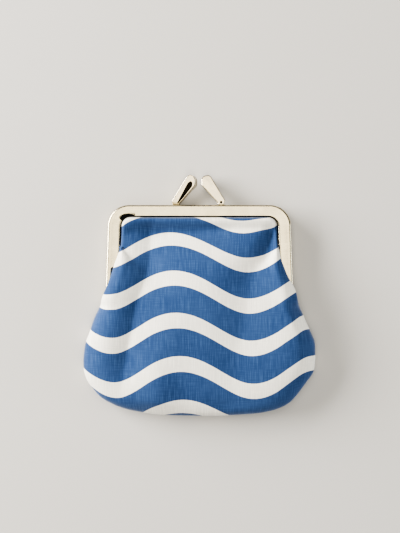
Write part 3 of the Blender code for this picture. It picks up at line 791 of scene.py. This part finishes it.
# The valley below the top bar, in mm
TOP_VALLEY = (
    # x, y, width below it, width above it, depth
    (-40.0, 30.0, 9.0, 5.0, 1.0),
    (-30.0, 28.0, 11.0, 6.0, 2.6),
    (-22.0, 28.0, 13.0, 6.5, 3.4),
    (-5.0, 28.3, 15.0, 6.5, 3.9),
    (8.0, 29.0, 15.0, 6.0, 3.4),
    (20.0, 29.5, 15.0, 5.5, 2.4),
    (36.0, 31.0, 10.0, 4.0, 1.0),
)
DOWNWARD_FOLDS = (
    # rows, softness of the crease in mm
    (LEFT_VALLEY, 0.6),
    (RIGHT_VALLEY, 3.0),
    (RIGHT_RIDGE, 2.5),
    (CORNER_PLEAT, 0.3),
    (BOTTOM_RIDGE, 3.0),
)
TOP_SOFTNESS = 1.2
FOLD_BLUR = 5.0
FOLD_SAMPLE = 0.5
FOLDS_FROM = 0.6
FOLDS_OVER = 0.10
HEM_ROLL = 2.6
HEM_ROLL_REACH = 2.0
TUCK_DEPTH = 0.0009
TUCK_EDGE = (0.00030, 0.00105)
TUCK_END = 0.0180
TUCK_ROUNDNESS = 0.4
SIDE_FULLNESS = 7.0
HEM_FULLNESS = 1.9
CROWN_FALL = 0.065
CROWN_TURN = 0.008
CROWN_BEND = 0.006
RIM_LIFT = 0.75
RIM_ROLL = (
    # seam: inward, up; over the leg: inward, up; all in mm
    (0.90, 0.00, 1.60, -2.00),
    (0.45, 0.05, 0.80, -1.80),
    (0.12, 0.25, 0.15, -1.20),
    (0.00, RIM_LIFT, 0.00, -0.50),
)
BACK_ROLL_START = 0.10
BACK_ROLL_END = 0.17
SIDE_STEPS = 130
BAND_RINGS = 36
BAND_SHARE = 0.25
HEM_SHARE = 0.060
SOFTENING_LEVELS = 24
SOFTENING_NEAR = 0.045
SOFTENING_FAR = 0.10
RIM_SAMPLES = 16
MM = 0.001
SHORT_OF_LAST = 1.001

FRONT_HEM = FRAME_DEPTH - SHEET - FRONT_HEM_GAP
BACK_HEM = SHEET + BACK_HEM_GAP
OVER_FLANGE = FRAME_DEPTH + OVER_LEG
CREST = np.array([0.0, -CREST_DROP])


def hem_points(foot):
    """The hem's line in the channel, from the top middle down the left leg."""
    top = FRAME_RISE - HEM_INSET
    radius = CORNER_RADIUS - HEM_INSET
    reach = SHOULDER_WIDTH / 2 - HEM_INSET
    shoulder = top - radius
    line = [((radius - reach) * share, top) for share in HEM_BAR_SHARES]
    for turn in quarter_turn(HEM_CORNER_STEPS):
        angle = math.pi / 2 + turn
        line.append((radius - reach + radius * math.cos(angle), shoulder + radius * math.sin(angle)))
    line.append((HEM_INSET - leg_half_width(foot), foot))
    return line


def seam_rows(side, level):
    rows = []
    for drop, left, right in SEAM_EDGE:
        across = left if side < 0 else right
        rows.append((side * across * BAG_WIDTH / 2, -drop * BAG_DROP, level, 1.0, 0.0))
    return rows


def front_side(side):
    """One side of the front panel's rim: in the channel, out over the leg, and down the seam."""
    rows = [(side * -x, y, FRONT_HEM, 0.0, 0.0) for x, y in hem_points(LEAVE_RISE + 2 * HEM_INSET)]
    for drop, share, lift, roundness in LEAVE_ROWS:
        height = LEAVE_RISE - drop * HEM_INSET
        x = leg_half_width(height) - blend(HEM_INSET, LEG_FLANGE + LUG_GAP, share)
        rows.append((side * x, height, blend(FRONT_HEM, OVER_FLANGE, lift), roundness, 0.0))
    low = SEAM_HEIGHT + SEAM_GAP / 2
    for height, left, right, lift in LEG_EDGE:
        across = left if side < 0 else right
        x = side * across * FRAME_WIDTH / 2
        roundness = min(1.0, LEG_ROUNDNESS + (1 - height / LEG_EDGE[0][0]) * ROUNDNESS_GAIN)
        over = min(lift * OVER_GAIN, 1.0)
        rows.append((x, height * FRAME_RISE, blend(low, OVER_FLANGE, lift), roundness, over))
    return rows + seam_rows(side, low)


def back_side(side):
    """One side of the back panel's rim: in the channel, inside the leg, round its foot, the seam."""
    rows = [(side * -x, y, BACK_HEM, 0.0, 0.0) for x, y in hem_points(BACK_LEAVE_RISE)]
    inside = INNER_LUG_INSET + LUG_SHEET + RIVET_TAIL + 3 * LUG_GAP
    for height in (LUG_RADIUS, 0.0):
        rows.append((side * (leg_half_width(height) - inside), height, BACK_HEM, 0.0, 0.0))
    high = SEAM_HEIGHT - SEAM_GAP / 2
    for height, across, lift in FOOT_EDGE:
        x = side * across * FRAME_WIDTH / 2
        rows.append((x, height * FRAME_RISE, blend(BACK_HEM, high, lift), lift, 0.0))
    return rows + seam_rows(side, high)


def whole_rim(side_rows):
    """The rim of a panel, down the left side and up the right."""
    left, right = side_rows(-1), side_rows(1)
    return left + right[:0:-1]


def rounded_loop(rows):
    """Dense samples of a closed centripetal Catmull-Rom curve through the rows."""
    spots = np.array(rows, float)
    count = len(spots)
    samples = []
    for n in range(count):
        p = [spots[(n + k) % count] for k in (-1, 0, 1, 2)]
        knots = [0.0]
        for a, b in zip(p, p[1:]):
            knots.append(knots[-1] + math.sqrt(np.linalg.norm((b - a)[:3])))
        for step in range(RIM_SAMPLES):
            t = blend(knots[1], knots[2], step / RIM_SAMPLES)
            level = p
            for span in (1, 2):
                level = [
                    blend(level[k], level[k + 1], (t - knots[k]) / (knots[k + span] - knots[k]))
                    for k in range(len(level) - 1)
                ]
            samples.append(blend(level[0], level[1], (t - knots[1]) / (knots[2] - knots[1])))
    return np.array(samples)


def even_stations(samples):
    """Stations round the rim from its top left corner, the same number on each of four sides."""
    x, y = samples[:, 0], samples[:, 1]
    corners = [np.argmax(y - x), np.argmax(-x - y), np.argmax(x - y), np.argmax(x + y)]
    turned = np.roll(samples, -corners[0], axis=0)
    corners = [(corner - corners[0]) % len(samples) for corner in corners] + [len(samples)]
    closed = np.vstack([turned, turned[:1]])
    steps = np.linalg.norm(np.diff(closed[:, :2], axis=0), axis=1)
    along = np.concatenate([[0.0], np.cumsum(steps)])
    wanted = []
    for start, end in zip(corners, corners[1:]):
        wanted.append(np.linspace(along[start], along[end], SIDE_STEPS, endpoint=False))
    wanted = np.concatenate(wanted)
    return np.stack([np.interp(wanted, along, closed[:, k]) for k in range(samples.shape[1])], axis=1)


def softened(stations, width):
    """Values round the rim averaged over a width, as a share of the way round."""
    spectrum = np.fft.rfft(stations, axis=0)
    waves = np.arange(spectrum.shape[0])[:, None]
    kept = np.exp(-((waves * width * math.pi) ** 2) / 2)
    return np.fft.irfft(spectrum * kept, len(stations), axis=0)


def softened_levels(stations):
    """The stations averaged round the rim, more and more toward the dome's middle."""
    levels = []
    for n in range(SOFTENING_LEVELS):
        share = n / (SOFTENING_LEVELS - 1)
        width = SOFTENING_NEAR * max(0.0, share - HEM_SHARE) ** 0.5 + SOFTENING_FAR * share**2
        levels.append(softened(stations, width))
    return np.array(levels)


def between(table, row, column):
    """Values of a table between its rows and its columns; the first column follows the last."""
    count = table.shape[1]
    low = np.minimum(row.astype(int), len(table) - 2)
    first = np.floor(column).astype(int)
    up, on = (row - low)[:, None], (column - first)[:, None]
    a, b = first % count, (first + 1) % count
    near = table[low, a] * (1 - on) + table[low, b] * on
    far = table[low + 1, a] * (1 - on) + table[low + 1, b] * on
    return near * (1 - up) + far * up


def inner_grid():
    """Station and share toward the middle for each point of a square grid mapped on a disc."""
    line = np.linspace(-1, 1, SIDE_STEPS + 1)
    u, v = np.meshgrid(line, line, indexing="ij")
    x, y = u * np.sqrt(1 - v * v / 2), v * np.sqrt(1 - u * u / 2)
    radius = np.sqrt(np.maximum(x * x + y * y, 1e-12))
    bend = math.sqrt(2) / radius
    station = np.where(
        np.abs(x) >= np.abs(y),
        np.where(x < 0, 0.5 - y * bend / 2, 2.5 + y * bend / 2),
        np.where(y < 0, 1.5 + x * bend / 2, 3.5 - x * bend / 2),
    )
    return station * SIDE_STEPS, BAND_SHARE + (1 - np.minimum(radius, 1.0)) * (1 - BAND_SHARE)


def border_index(n):
    """Grid point of a station on the inner grid's border, from its top left corner down."""
    side, k = divmod(n % (4 * SIDE_STEPS), SIDE_STEPS)
    i, j = ((0, SIDE_STEPS - k), (k, 0), (SIDE_STEPS, k), (SIDE_STEPS - k, SIDE_STEPS))[side]
    return i * (SIDE_STEPS + 1) + j


def panel_mesh(name, rows, height_at, upward):
    """A panel as rings round its rim that meet a square grid in the middle."""
    stations = even_stations(rounded_loop(rows))
    stations[:, 3:4] = softened(stations[:, 3:4], ROUNDNESS_BLUR)
    levels = softened_levels(stations)
    count = len(stations)
    away = stations[:, :2] - CREST
    reach = np.linalg.norm(away, axis=1, keepdims=True)
    points = []
    seam, over = stations[:, 3:4], stations[:, 4:5]
    for seam_in, seam_up, over_in, over_up in RIM_ROLL:
        inward = MM * (seam_in * seam * (1 - over) + over_in * over)
        up = MM * (seam_up * seam * (1 - over) + over_up * over)
        spots = stations[:, :2] - away / reach * inward
        points.append(np.hstack([spots, stations[:, 2:3] + upward * up]))
    station = np.arange(count).astype(float)
    for ring in range(1, BAND_RINGS):
        share = np.full(count, BAND_SHARE * (ring / BAND_RINGS) ** 2)
        points.append(surface_points(levels, station, share, height_at))
    grid_station, grid_share = inner_grid()
    grid = surface_points(levels, grid_station.ravel(), grid_share.ravel(), height_at)
    rings = len(points)
    faces = bands(rings, count)
    base = rings * count
    outer = (rings - 1) * count
    for n in range(count):
        faces.append((outer + n, outer + (n + 1) % count, base + border_index(n + 1), base + border_index(n)))
    row = SIDE_STEPS + 1
    for i in range(SIDE_STEPS):
        for j in range(SIDE_STEPS):
            a = base + i * row + j
            faces.append((a, a + row, a + row + 1, a + 1))
    if upward < 0:
        faces = [face[::-1] for face in faces]
    mesh = bpy.data.meshes.new(name)
    mesh.from_pydata(np.vstack(points + [grid]).tolist(), [], faces)
    return mesh


def surface_points(levels, station, share, height_at):
    """Points of a panel at places round the rim and shares of the way in."""
    rim = between(levels, np.clip(share, 0, 1) * (SOFTENING_LEVELS - 1), station)
    spots = rim[:, :2] * (1 - share[:, None]) + CREST * share[:, None]
    height = height_at(spots[:, 0], spots[:, 1], share, rim[:, 2], rim[:, 3])
    return np.column_stack([spots, height])


def fold(rows, softness, along, across):
    """Height of one fold at places along and across it, in mm."""
    rows = np.array(rows[:: 1 if rows[0][0] < rows[-1][0] else -1])
    fine = np.arange(rows[0, 0] - 3 * FOLD_BLUR, rows[-1, 0] + 3 * FOLD_BLUR, FOLD_SAMPLE)
    steps = np.arange(-2 * FOLD_BLUR, 2 * FOLD_BLUR + FOLD_SAMPLE / 2, FOLD_SAMPLE)
    kernel = np.exp(-2 * (steps / FOLD_BLUR) ** 2)
    kernel /= kernel.sum()
    columns = []
    for column in rows.T[1:]:
        line = np.pad(np.interp(fine, rows[:, 0], column), len(steps) // 2, mode="edge")
        columns.append(np.interp(along, fine, np.convolve(line, kernel, mode="valid")))
    middle, low_side, high_side, depth = columns
    off = across - middle
    bent = (np.sqrt(off**2 + softness**2) - softness) / np.where(off < 0, low_side, high_side)
    return -depth * (1 - np.sin(np.minimum(bent, 1.0) * math.pi / 2))


def fold_height(x, y):
    """How far the front panel's folds lift or lower points."""
    x, y = x / MM, y / MM
    height = fold(TOP_VALLEY, TOP_SOFTNESS, x, y)
    for rows, softness in DOWNWARD_FOLDS:
        height = height + fold(rows, softness, y, x)
    return height * MM


def tucked(x, y):
    """1 where the front panel is down in the channel and 0 where it is out in the window."""
    depth = window_depth(np.abs(x), y)
    return (1 - smooth_step(depth, *TUCK_EDGE)) * smooth_step(y, TUCK_END, LEAVE_RISE)


def front_height(x, y, inward, rim, roundness):
    """Height of the front panel's outer face."""
    roundness = np.clip(roundness, 0.0, 1.0)
    flat = np.maximum(inward - HEM_SHARE, 0.0) / (1 - HEM_SHARE)
    hem_rise = 1 - (1 - flat) ** HEM_FULLNESS
    seam_rise = np.sqrt(np.maximum(0.0, 1 - (1 - inward) ** SIDE_FULLNESS))
    depth = window_depth(np.abs(x), y)
    roll = HEM_ROLL * MM * smooth_step(depth, 0.0, HEM_ROLL_REACH * MM) * (1 - roundness)
    low = rim + RIM_LIFT * MM * roundness + roll
    crown = BAG_CROWN - CROWN_FALL * np.logaddexp(0.0, (CROWN_TURN - y) / CROWN_BEND) * CROWN_BEND
    height = blend(low, crown, blend(hem_rise, seam_rise, roundness))
    open_share = smooth_step(inward, HEM_SHARE * FOLDS_FROM, HEM_SHARE + FOLDS_OVER)
    height = height + fold_height(x, y) * open_share
    down = tucked(x, y) * (1 - smooth_step(roundness, 0.0, TUCK_ROUNDNESS))
    return blend(height, FRONT_HEM - TUCK_DEPTH, down)


def back_height(x, y, inward, rim, roundness):
    """Height of the back panel's outer face: it rolls down from the rim and lies flat."""
    start = BACK_ROLL_START * (1 - roundness)
    share = np.clip((inward - start) / (BACK_ROLL_END - start), 0.0, 1.0)
    roll = blend(share, np.sqrt(1 - (1 - share) ** 2), np.clip(roundness, 0, 1))
    return (rim - RIM_LIFT * MM * roundness) * (1 - roll)


def height_map(mesh):
    """Heights of a panel's outer face over a grid of places, with the grid's x and y."""
    tree = tree_of(mesh)
    xs = np.arange(-0.5 * BAG_WIDTH - MAP_STEP, 0.5 * BAG_WIDTH + 2 * MAP_STEP, MAP_STEP)
    ys = np.arange(-BAG_DROP - MAP_STEP, FRAME_RISE + 2 * MAP_STEP, MAP_STEP)
    heights = np.full((len(xs), len(ys)), np.nan)
    for i, x in enumerate(xs):
        for j, y in enumerate(ys):
            hit = tree.ray_cast(Vector((x, y, 2 * BAG_CROWN)), Vector((0, 0, -1)))[0]
            if hit:
                heights[i, j] = hit.z
    for line in (*heights, *heights.T):
        known = np.flatnonzero(~np.isnan(line))
        if len(known):
            line[:] = np.interp(np.arange(len(line)), known, line[known])
    return xs, ys, heights


def lengths_from(values, heights, start):
    """Length over the surface from a start, along the first axis of the heights."""
    rise = np.diff(heights, axis=0)
    lengths = np.vstack([np.zeros(heights.shape[1]), np.cumsum(np.hypot(MAP_STEP, rise), axis=0)])
    at_start = [np.interp(start, values, column) for column in lengths.T]
    return lengths - at_start


def blurred(table):
    """A table averaged with its neighbours both ways."""
    kernel = np.hanning(2 * MAP_BLUR + 3)[1:-1]
    kernel /= kernel.sum()
    for turn in range(2):
        padded = np.pad(table, ((0, 0), (MAP_BLUR, MAP_BLUR)), mode="edge")
        table = np.array([np.convolve(line, kernel, mode="valid") for line in padded]).T
    return table


def add_cloth_coordinates(mesh):
    """Adds a UV map with each point's place on the flat cloth in mm, along its own surface."""
    xs, ys, heights = height_map(mesh)
    across = lengths_from(xs, heights, 0.0)
    up = lengths_from(ys, heights.T, GRAIN_LINE).T + GRAIN_LINE
    across = (blurred(across - xs[:, None]) + xs[:, None]) / MM
    up = (blurred(up - ys) + ys) / MM
    spots = points_of(mesh)
    i = np.clip((spots[:, 0] - xs[0]) / MAP_STEP, 0, len(xs) - SHORT_OF_LAST)
    j = np.clip((spots[:, 1] - ys[0]) / MAP_STEP, 0, len(ys) - SHORT_OF_LAST)
    places = between(np.stack([across, up], axis=-1), i, j)
    corners = np.zeros(len(mesh.loops), int)
    mesh.loops.foreach_get("vertex_index", corners)
    layer = mesh.uv_layers.new(name="cloth")
    layer.data.foreach_set("uv", places[corners].ravel())


def add_shade(mesh):
    """Adds a value for each point, 1 where the cloth is down in the channel, where the cotton is coloured
    near black as painted shade.
    """
    spots = points_of(mesh)
    layer = mesh.attributes.new("tucked", "FLOAT", "POINT")
    layer.data.foreach_set("value", tucked(spots[:, 0], spots[:, 1]))


def cloth_panel(name, rows, height_at, upward, material):
    """A finished panel with its thickness and cloth coordinates."""
    mesh = panel_mesh(name, rows, height_at, upward)
    add_cloth_coordinates(mesh)
    add_shade(mesh)
    mesh.shade_smooth()
    body = place(name, mesh, material)
    wall = body.modifiers.new("wall", "SOLIDIFY")
    wall.thickness = CLOTH
    wall.offset = -1
    apply_modifiers(body)
    return body


# Materials


class Nodes:
    """Short forms for the nodes of one material."""

    def __init__(self, name):
        self.material = bpy.data.materials.new(name)
        self.material.use_nodes = True
        self.tree = self.material.node_tree
        self.shader = self.tree.nodes["Principled BSDF"]

    def add(self, kind, inputs=None, **settings):
        node = self.tree.nodes.new(kind)
        for key, value in settings.items():
            setattr(node, key, value)
        for key, value in (inputs or {}).items():
            self.give(node.inputs[key], value)
        return node

    def give(self, socket, value):
        if isinstance(value, bpy.types.NodeSocket):
            self.tree.links.new(value, socket)
        else:
            socket.default_value = value

    def math(self, operation, a, b=0.0):
        node = self.add("ShaderNodeMath", operation=operation)
        self.give(node.inputs[0], a)
        self.give(node.inputs[1], b)
        return node.outputs[0]

    def times(self, a, b):
        return self.math("MULTIPLY", a, b)

    def plus(self, a, b):
        return self.math("ADD", a, b)

    def minus(self, a, b):
        return self.math("SUBTRACT", a, b)

    def noise(self, vector, scale, detail=2.0):
        node = self.add("ShaderNodeTexNoise", {"Vector": vector, "Scale": scale, "Detail": detail})
        return node.outputs["Fac"]

    def stretch(self, vector, by):
        node = self.add("ShaderNodeVectorMath", operation="MULTIPLY")
        self.give(node.inputs[0], vector)
        self.give(node.inputs[1], by)
        return node.outputs[0]

    def mix(self, share, a, b):
        node = self.add("ShaderNodeMix", data_type="RGBA")
        self.give(node.inputs["Factor"], share)
        self.give(node.inputs["A"], a)
        self.give(node.inputs["B"], b)
        return node.outputs["Result"]

    def ranged(self, value, low, high, to_low=0.0, to_high=1.0):
        limits = {"From Min": low, "From Max": high, "To Min": to_low, "To Max": to_high}
        node = self.add("ShaderNodeMapRange", {"Value": value, **limits}, interpolation_type="SMOOTHSTEP")
        return node.outputs["Result"]

    def surface(self, values):
        """Sets or links the shader's own sockets, and gives back the material."""
        for key, value in values.items():
            self.give(self.shader.inputs[key], value)
        return self.material


def stripe_mask(nodes, across, up):
    """1 on a white wave stripe and 0 on a blue one, on the flat cloth."""
    turn = 2 * math.pi / WAVE_LENGTH
    along = nodes.minus(across, nodes.times(up, WAVE_DRIFT))
    angle = nodes.times(nodes.minus(along, WAVE_CREST), turn)
    wave = nodes.times(nodes.math("COSINE", angle), WAVE_HEIGHT)
    double = nodes.math("COSINE", nodes.times(angle, 2.0))
    wave = nodes.plus(wave, nodes.times(double, WAVE_PEAKING))
    off = nodes.math("DIVIDE", nodes.minus(up, STRETCH_MIDDLE), STRETCH_REACH)
    side = nodes.math("DIVIDE", across, STRETCH_REACH)
    pulled = nodes.times(nodes.times(off, off), STRETCH)
    turned = nodes.times(side, nodes.plus(nodes.times(off, TWIST), TILT))
    level = nodes.minus(up, wave)
    level = nodes.plus(level, nodes.plus(pulled, turned))
    level = nodes.minus(level, STRIPE_START)
    share = nodes.math("PINGPONG", nodes.math("DIVIDE", level, STRIPE_PITCH), 0.5)
    edge = STRIPE_WHITE / STRIPE_PITCH / 2
    soft = PRINT_SOFTNESS / STRIPE_PITCH
    return nodes.ranged(share, edge + soft, edge - soft)


def cotton_material():
    """Printed cotton: white and blue wave stripes on a plain weave."""
    nodes = Nodes("wave_striped_cotton")
    cloth = nodes.add("ShaderNodeUVMap", uv_map="cloth").outputs["UV"]
    parts = nodes.add("ShaderNodeSeparateXYZ", {"Vector": cloth}).outputs
    across, up = parts["X"], parts["Y"]
    bleed = nodes.times(nodes.minus(nodes.noise(cloth, BLEED_SCALE), 0.5), PRINT_BLEED)
    white = stripe_mask(nodes, across, nodes.plus(up, bleed))
    warp = nodes.noise(nodes.stretch(cloth, WARP), 1.0, 3.0)
    weft = nodes.noise(nodes.stretch(cloth, WEFT), 1.0, 3.0)
    patches = nodes.noise(cloth, PATCH_SCALE)
    threads = nodes.plus(nodes.times(warp, WARP_SHARE), nodes.times(weft, WEFT_SHARE))
    faded = nodes.ranged(threads, *FADING)
    blue = nodes.mix(faded, BLUE_DEEP, BLUE_FADED)
    blue = nodes.mix(nodes.ranged(patches, *PATCHES), blue, BLUE_FADED)
    cream = nodes.mix(faded, WHITE_SHADE, WHITE)
    print_colour = nodes.mix(white, blue, cream)
    # Painted shade: the cloth down in the channel is mixed to near black by the tucked value
    channel_shade_share = nodes.add("ShaderNodeAttribute", attribute_name="tucked").outputs["Fac"]
    colour = nodes.mix(channel_shade_share, print_colour, CHANNEL_PAINTED_SHADE)
    over = nodes.math("SINE", nodes.times(across, math.pi / THREAD))
    under = nodes.math("SINE", nodes.times(up, math.pi / THREAD))
    weave = nodes.times(over, under)
    relief = nodes.plus(nodes.times(weave, WEAVE_RELIEF), nodes.times(warp, WARP_RELIEF))
    bump = nodes.add("ShaderNodeBump", {"Height": relief, **CLOTH_BUMP})
    return nodes.surface(
        {
            "Base Color": colour,
            "Normal": bump.outputs["Normal"],
            "Roughness": CLOTH_ROUGHNESS,
            "Specular IOR Level": CLOTH_SPECULAR,
            "Sheen Weight": SHEEN,
            "Sheen Roughness": SHEEN_ROUGHNESS,
        }
    )


def nickel_material(name, colour, roughness, wear):
    """Plated sheet metal with fine rubbing marks; the same build also makes the near black painted shade for
    the fingers' cut walls.
    """
    nodes = Nodes(name)
    spot = nodes.add("ShaderNodeTexCoord").outputs["Object"]
    cloudy = nodes.noise(spot, CLOUD_SCALE, 4.0)
    rubbed = nodes.noise(nodes.stretch(spot, RUBBING), 1.0, 3.0)
    worn = nodes.plus(nodes.times(cloudy, CLOUD_SHARE), nodes.times(rubbed, RUBBED_SHARE))
    shade = [channel * METAL_SHADE for channel in colour[:3]] + [1.0]
    bump = nodes.add("ShaderNodeBump", {"Height": rubbed, **METAL_BUMP})
    return nodes.surface(
        {
            "Roughness": nodes.ranged(worn, *WORN, roughness, roughness + wear),
            "Base Color": nodes.mix(nodes.ranged(cloudy, *WORN), colour, shade),
            "Normal": bump.outputs["Normal"],
            "Metallic": 1.0,
        }
    )


# Stage


def floor():
    pale = Nodes("pale_floor").surface({"Base Color": FLOOR_COLOUR, "Roughness": FLOOR_ROUGHNESS})
    signs = ((-1, -1), (1, -1), (1, 1), (-1, 1))
    corners = [(x * FLOOR_HALF, y * FLOOR_HALF, 0) for x, y in signs]
    piece = place("floor", mesh_of("floor", corners, [(0, 1, 2, 3)]), pale)
    piece.location.z = -FLOOR_GAP


def panel_light(name, spot, size, power, colour):
    """A soft rectangular light that faces the purse."""
    light = bpy.data.lights.new(name, "AREA")
    light.shape = "RECTANGLE"
    light.size, light.size_y = size
    light.energy = power
    light.color = colour
    thing = place(name, light)
    thing.location = spot
    aim = Vector((0, 0, MIDDLE)) - Vector(spot)
    turn = aim.to_track_quat("-Z", "Y") if abs(aim.y) + abs(aim.x) > 0 else Quaternion()
    thing.rotation_euler = turn.to_euler()


def lights():
    world = bpy.data.worlds.new("studio")
    bpy.context.scene.world = world
    world.use_nodes = True
    shade = world.node_tree.nodes["Background"]
    shade.inputs["Color"].default_value = SKY_COLOUR
    shade.inputs["Strength"].default_value = SKY_STRENGTH
    for light in LIGHTS:
        panel_light(*light)


def camera():
    """Straight above the purse, at the photograph's framing."""
    lens = bpy.data.cameras.new("camera")
    lens.sensor_width = 36.0
    lens.lens = lens.sensor_width * CAMERA_RISE / (IMAGE_TALL * PIXEL)
    thing = place("camera", lens)
    thing.location = (CAMERA_X, CAMERA_Y, FRAME_DEPTH + CAMERA_RISE)
    bpy.context.scene.camera = thing
    bpy.context.scene.view_settings.view_transform = "AgX"
    bpy.context.scene.view_settings.look = TONE_LOOK
    bpy.context.scene.view_settings.exposure = EXPOSURE


def main():
    nickel, bright, cut_shade_material = [nickel_material(*metal) for metal in METALS]
    cotton = cotton_material()
    front = frame_half("purse_frame_front", True, nickel)
    back = frame_half("purse_frame_back", False, nickel)
    front_finger = finger("kiss_finger_front", FRONT_REACH, bright, cut_shade_material)
    back_finger = finger("kiss_finger_back", BACK_REACH, bright, cut_shade_material)
    turn_to_back(back.data)
    turn_to_back(back_finger.data)
    pieces = [
        (front, "frame_front", "frame_nickel"),
        (back, "frame_back", "frame_nickel"),
        (front_finger, "clasp_front", "clasp_nickel"),
        (back_finger, "clasp_back", "clasp_nickel"),
        (rivet("hinge_rivet_left", -1, nickel), "rivet_left", "frame_nickel"),
        (rivet("hinge_rivet_right", 1, nickel), "rivet_right", "frame_nickel"),
    ]
    front_cloth = cloth_panel("striped_front", whole_rim(front_side), front_height, 1, cotton)
    back_cloth = cloth_panel("striped_back", whole_rim(back_side), back_height, -1, cotton)
    pieces += [
        (front_cloth, "bag_front", "striped_cotton"),
        (back_cloth, "bag_back", "striped_cotton"),
    ]
    for piece, node, slot in pieces:
        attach(piece, "root")
        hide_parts(node)
    floor()
    lights()
    camera()


main()
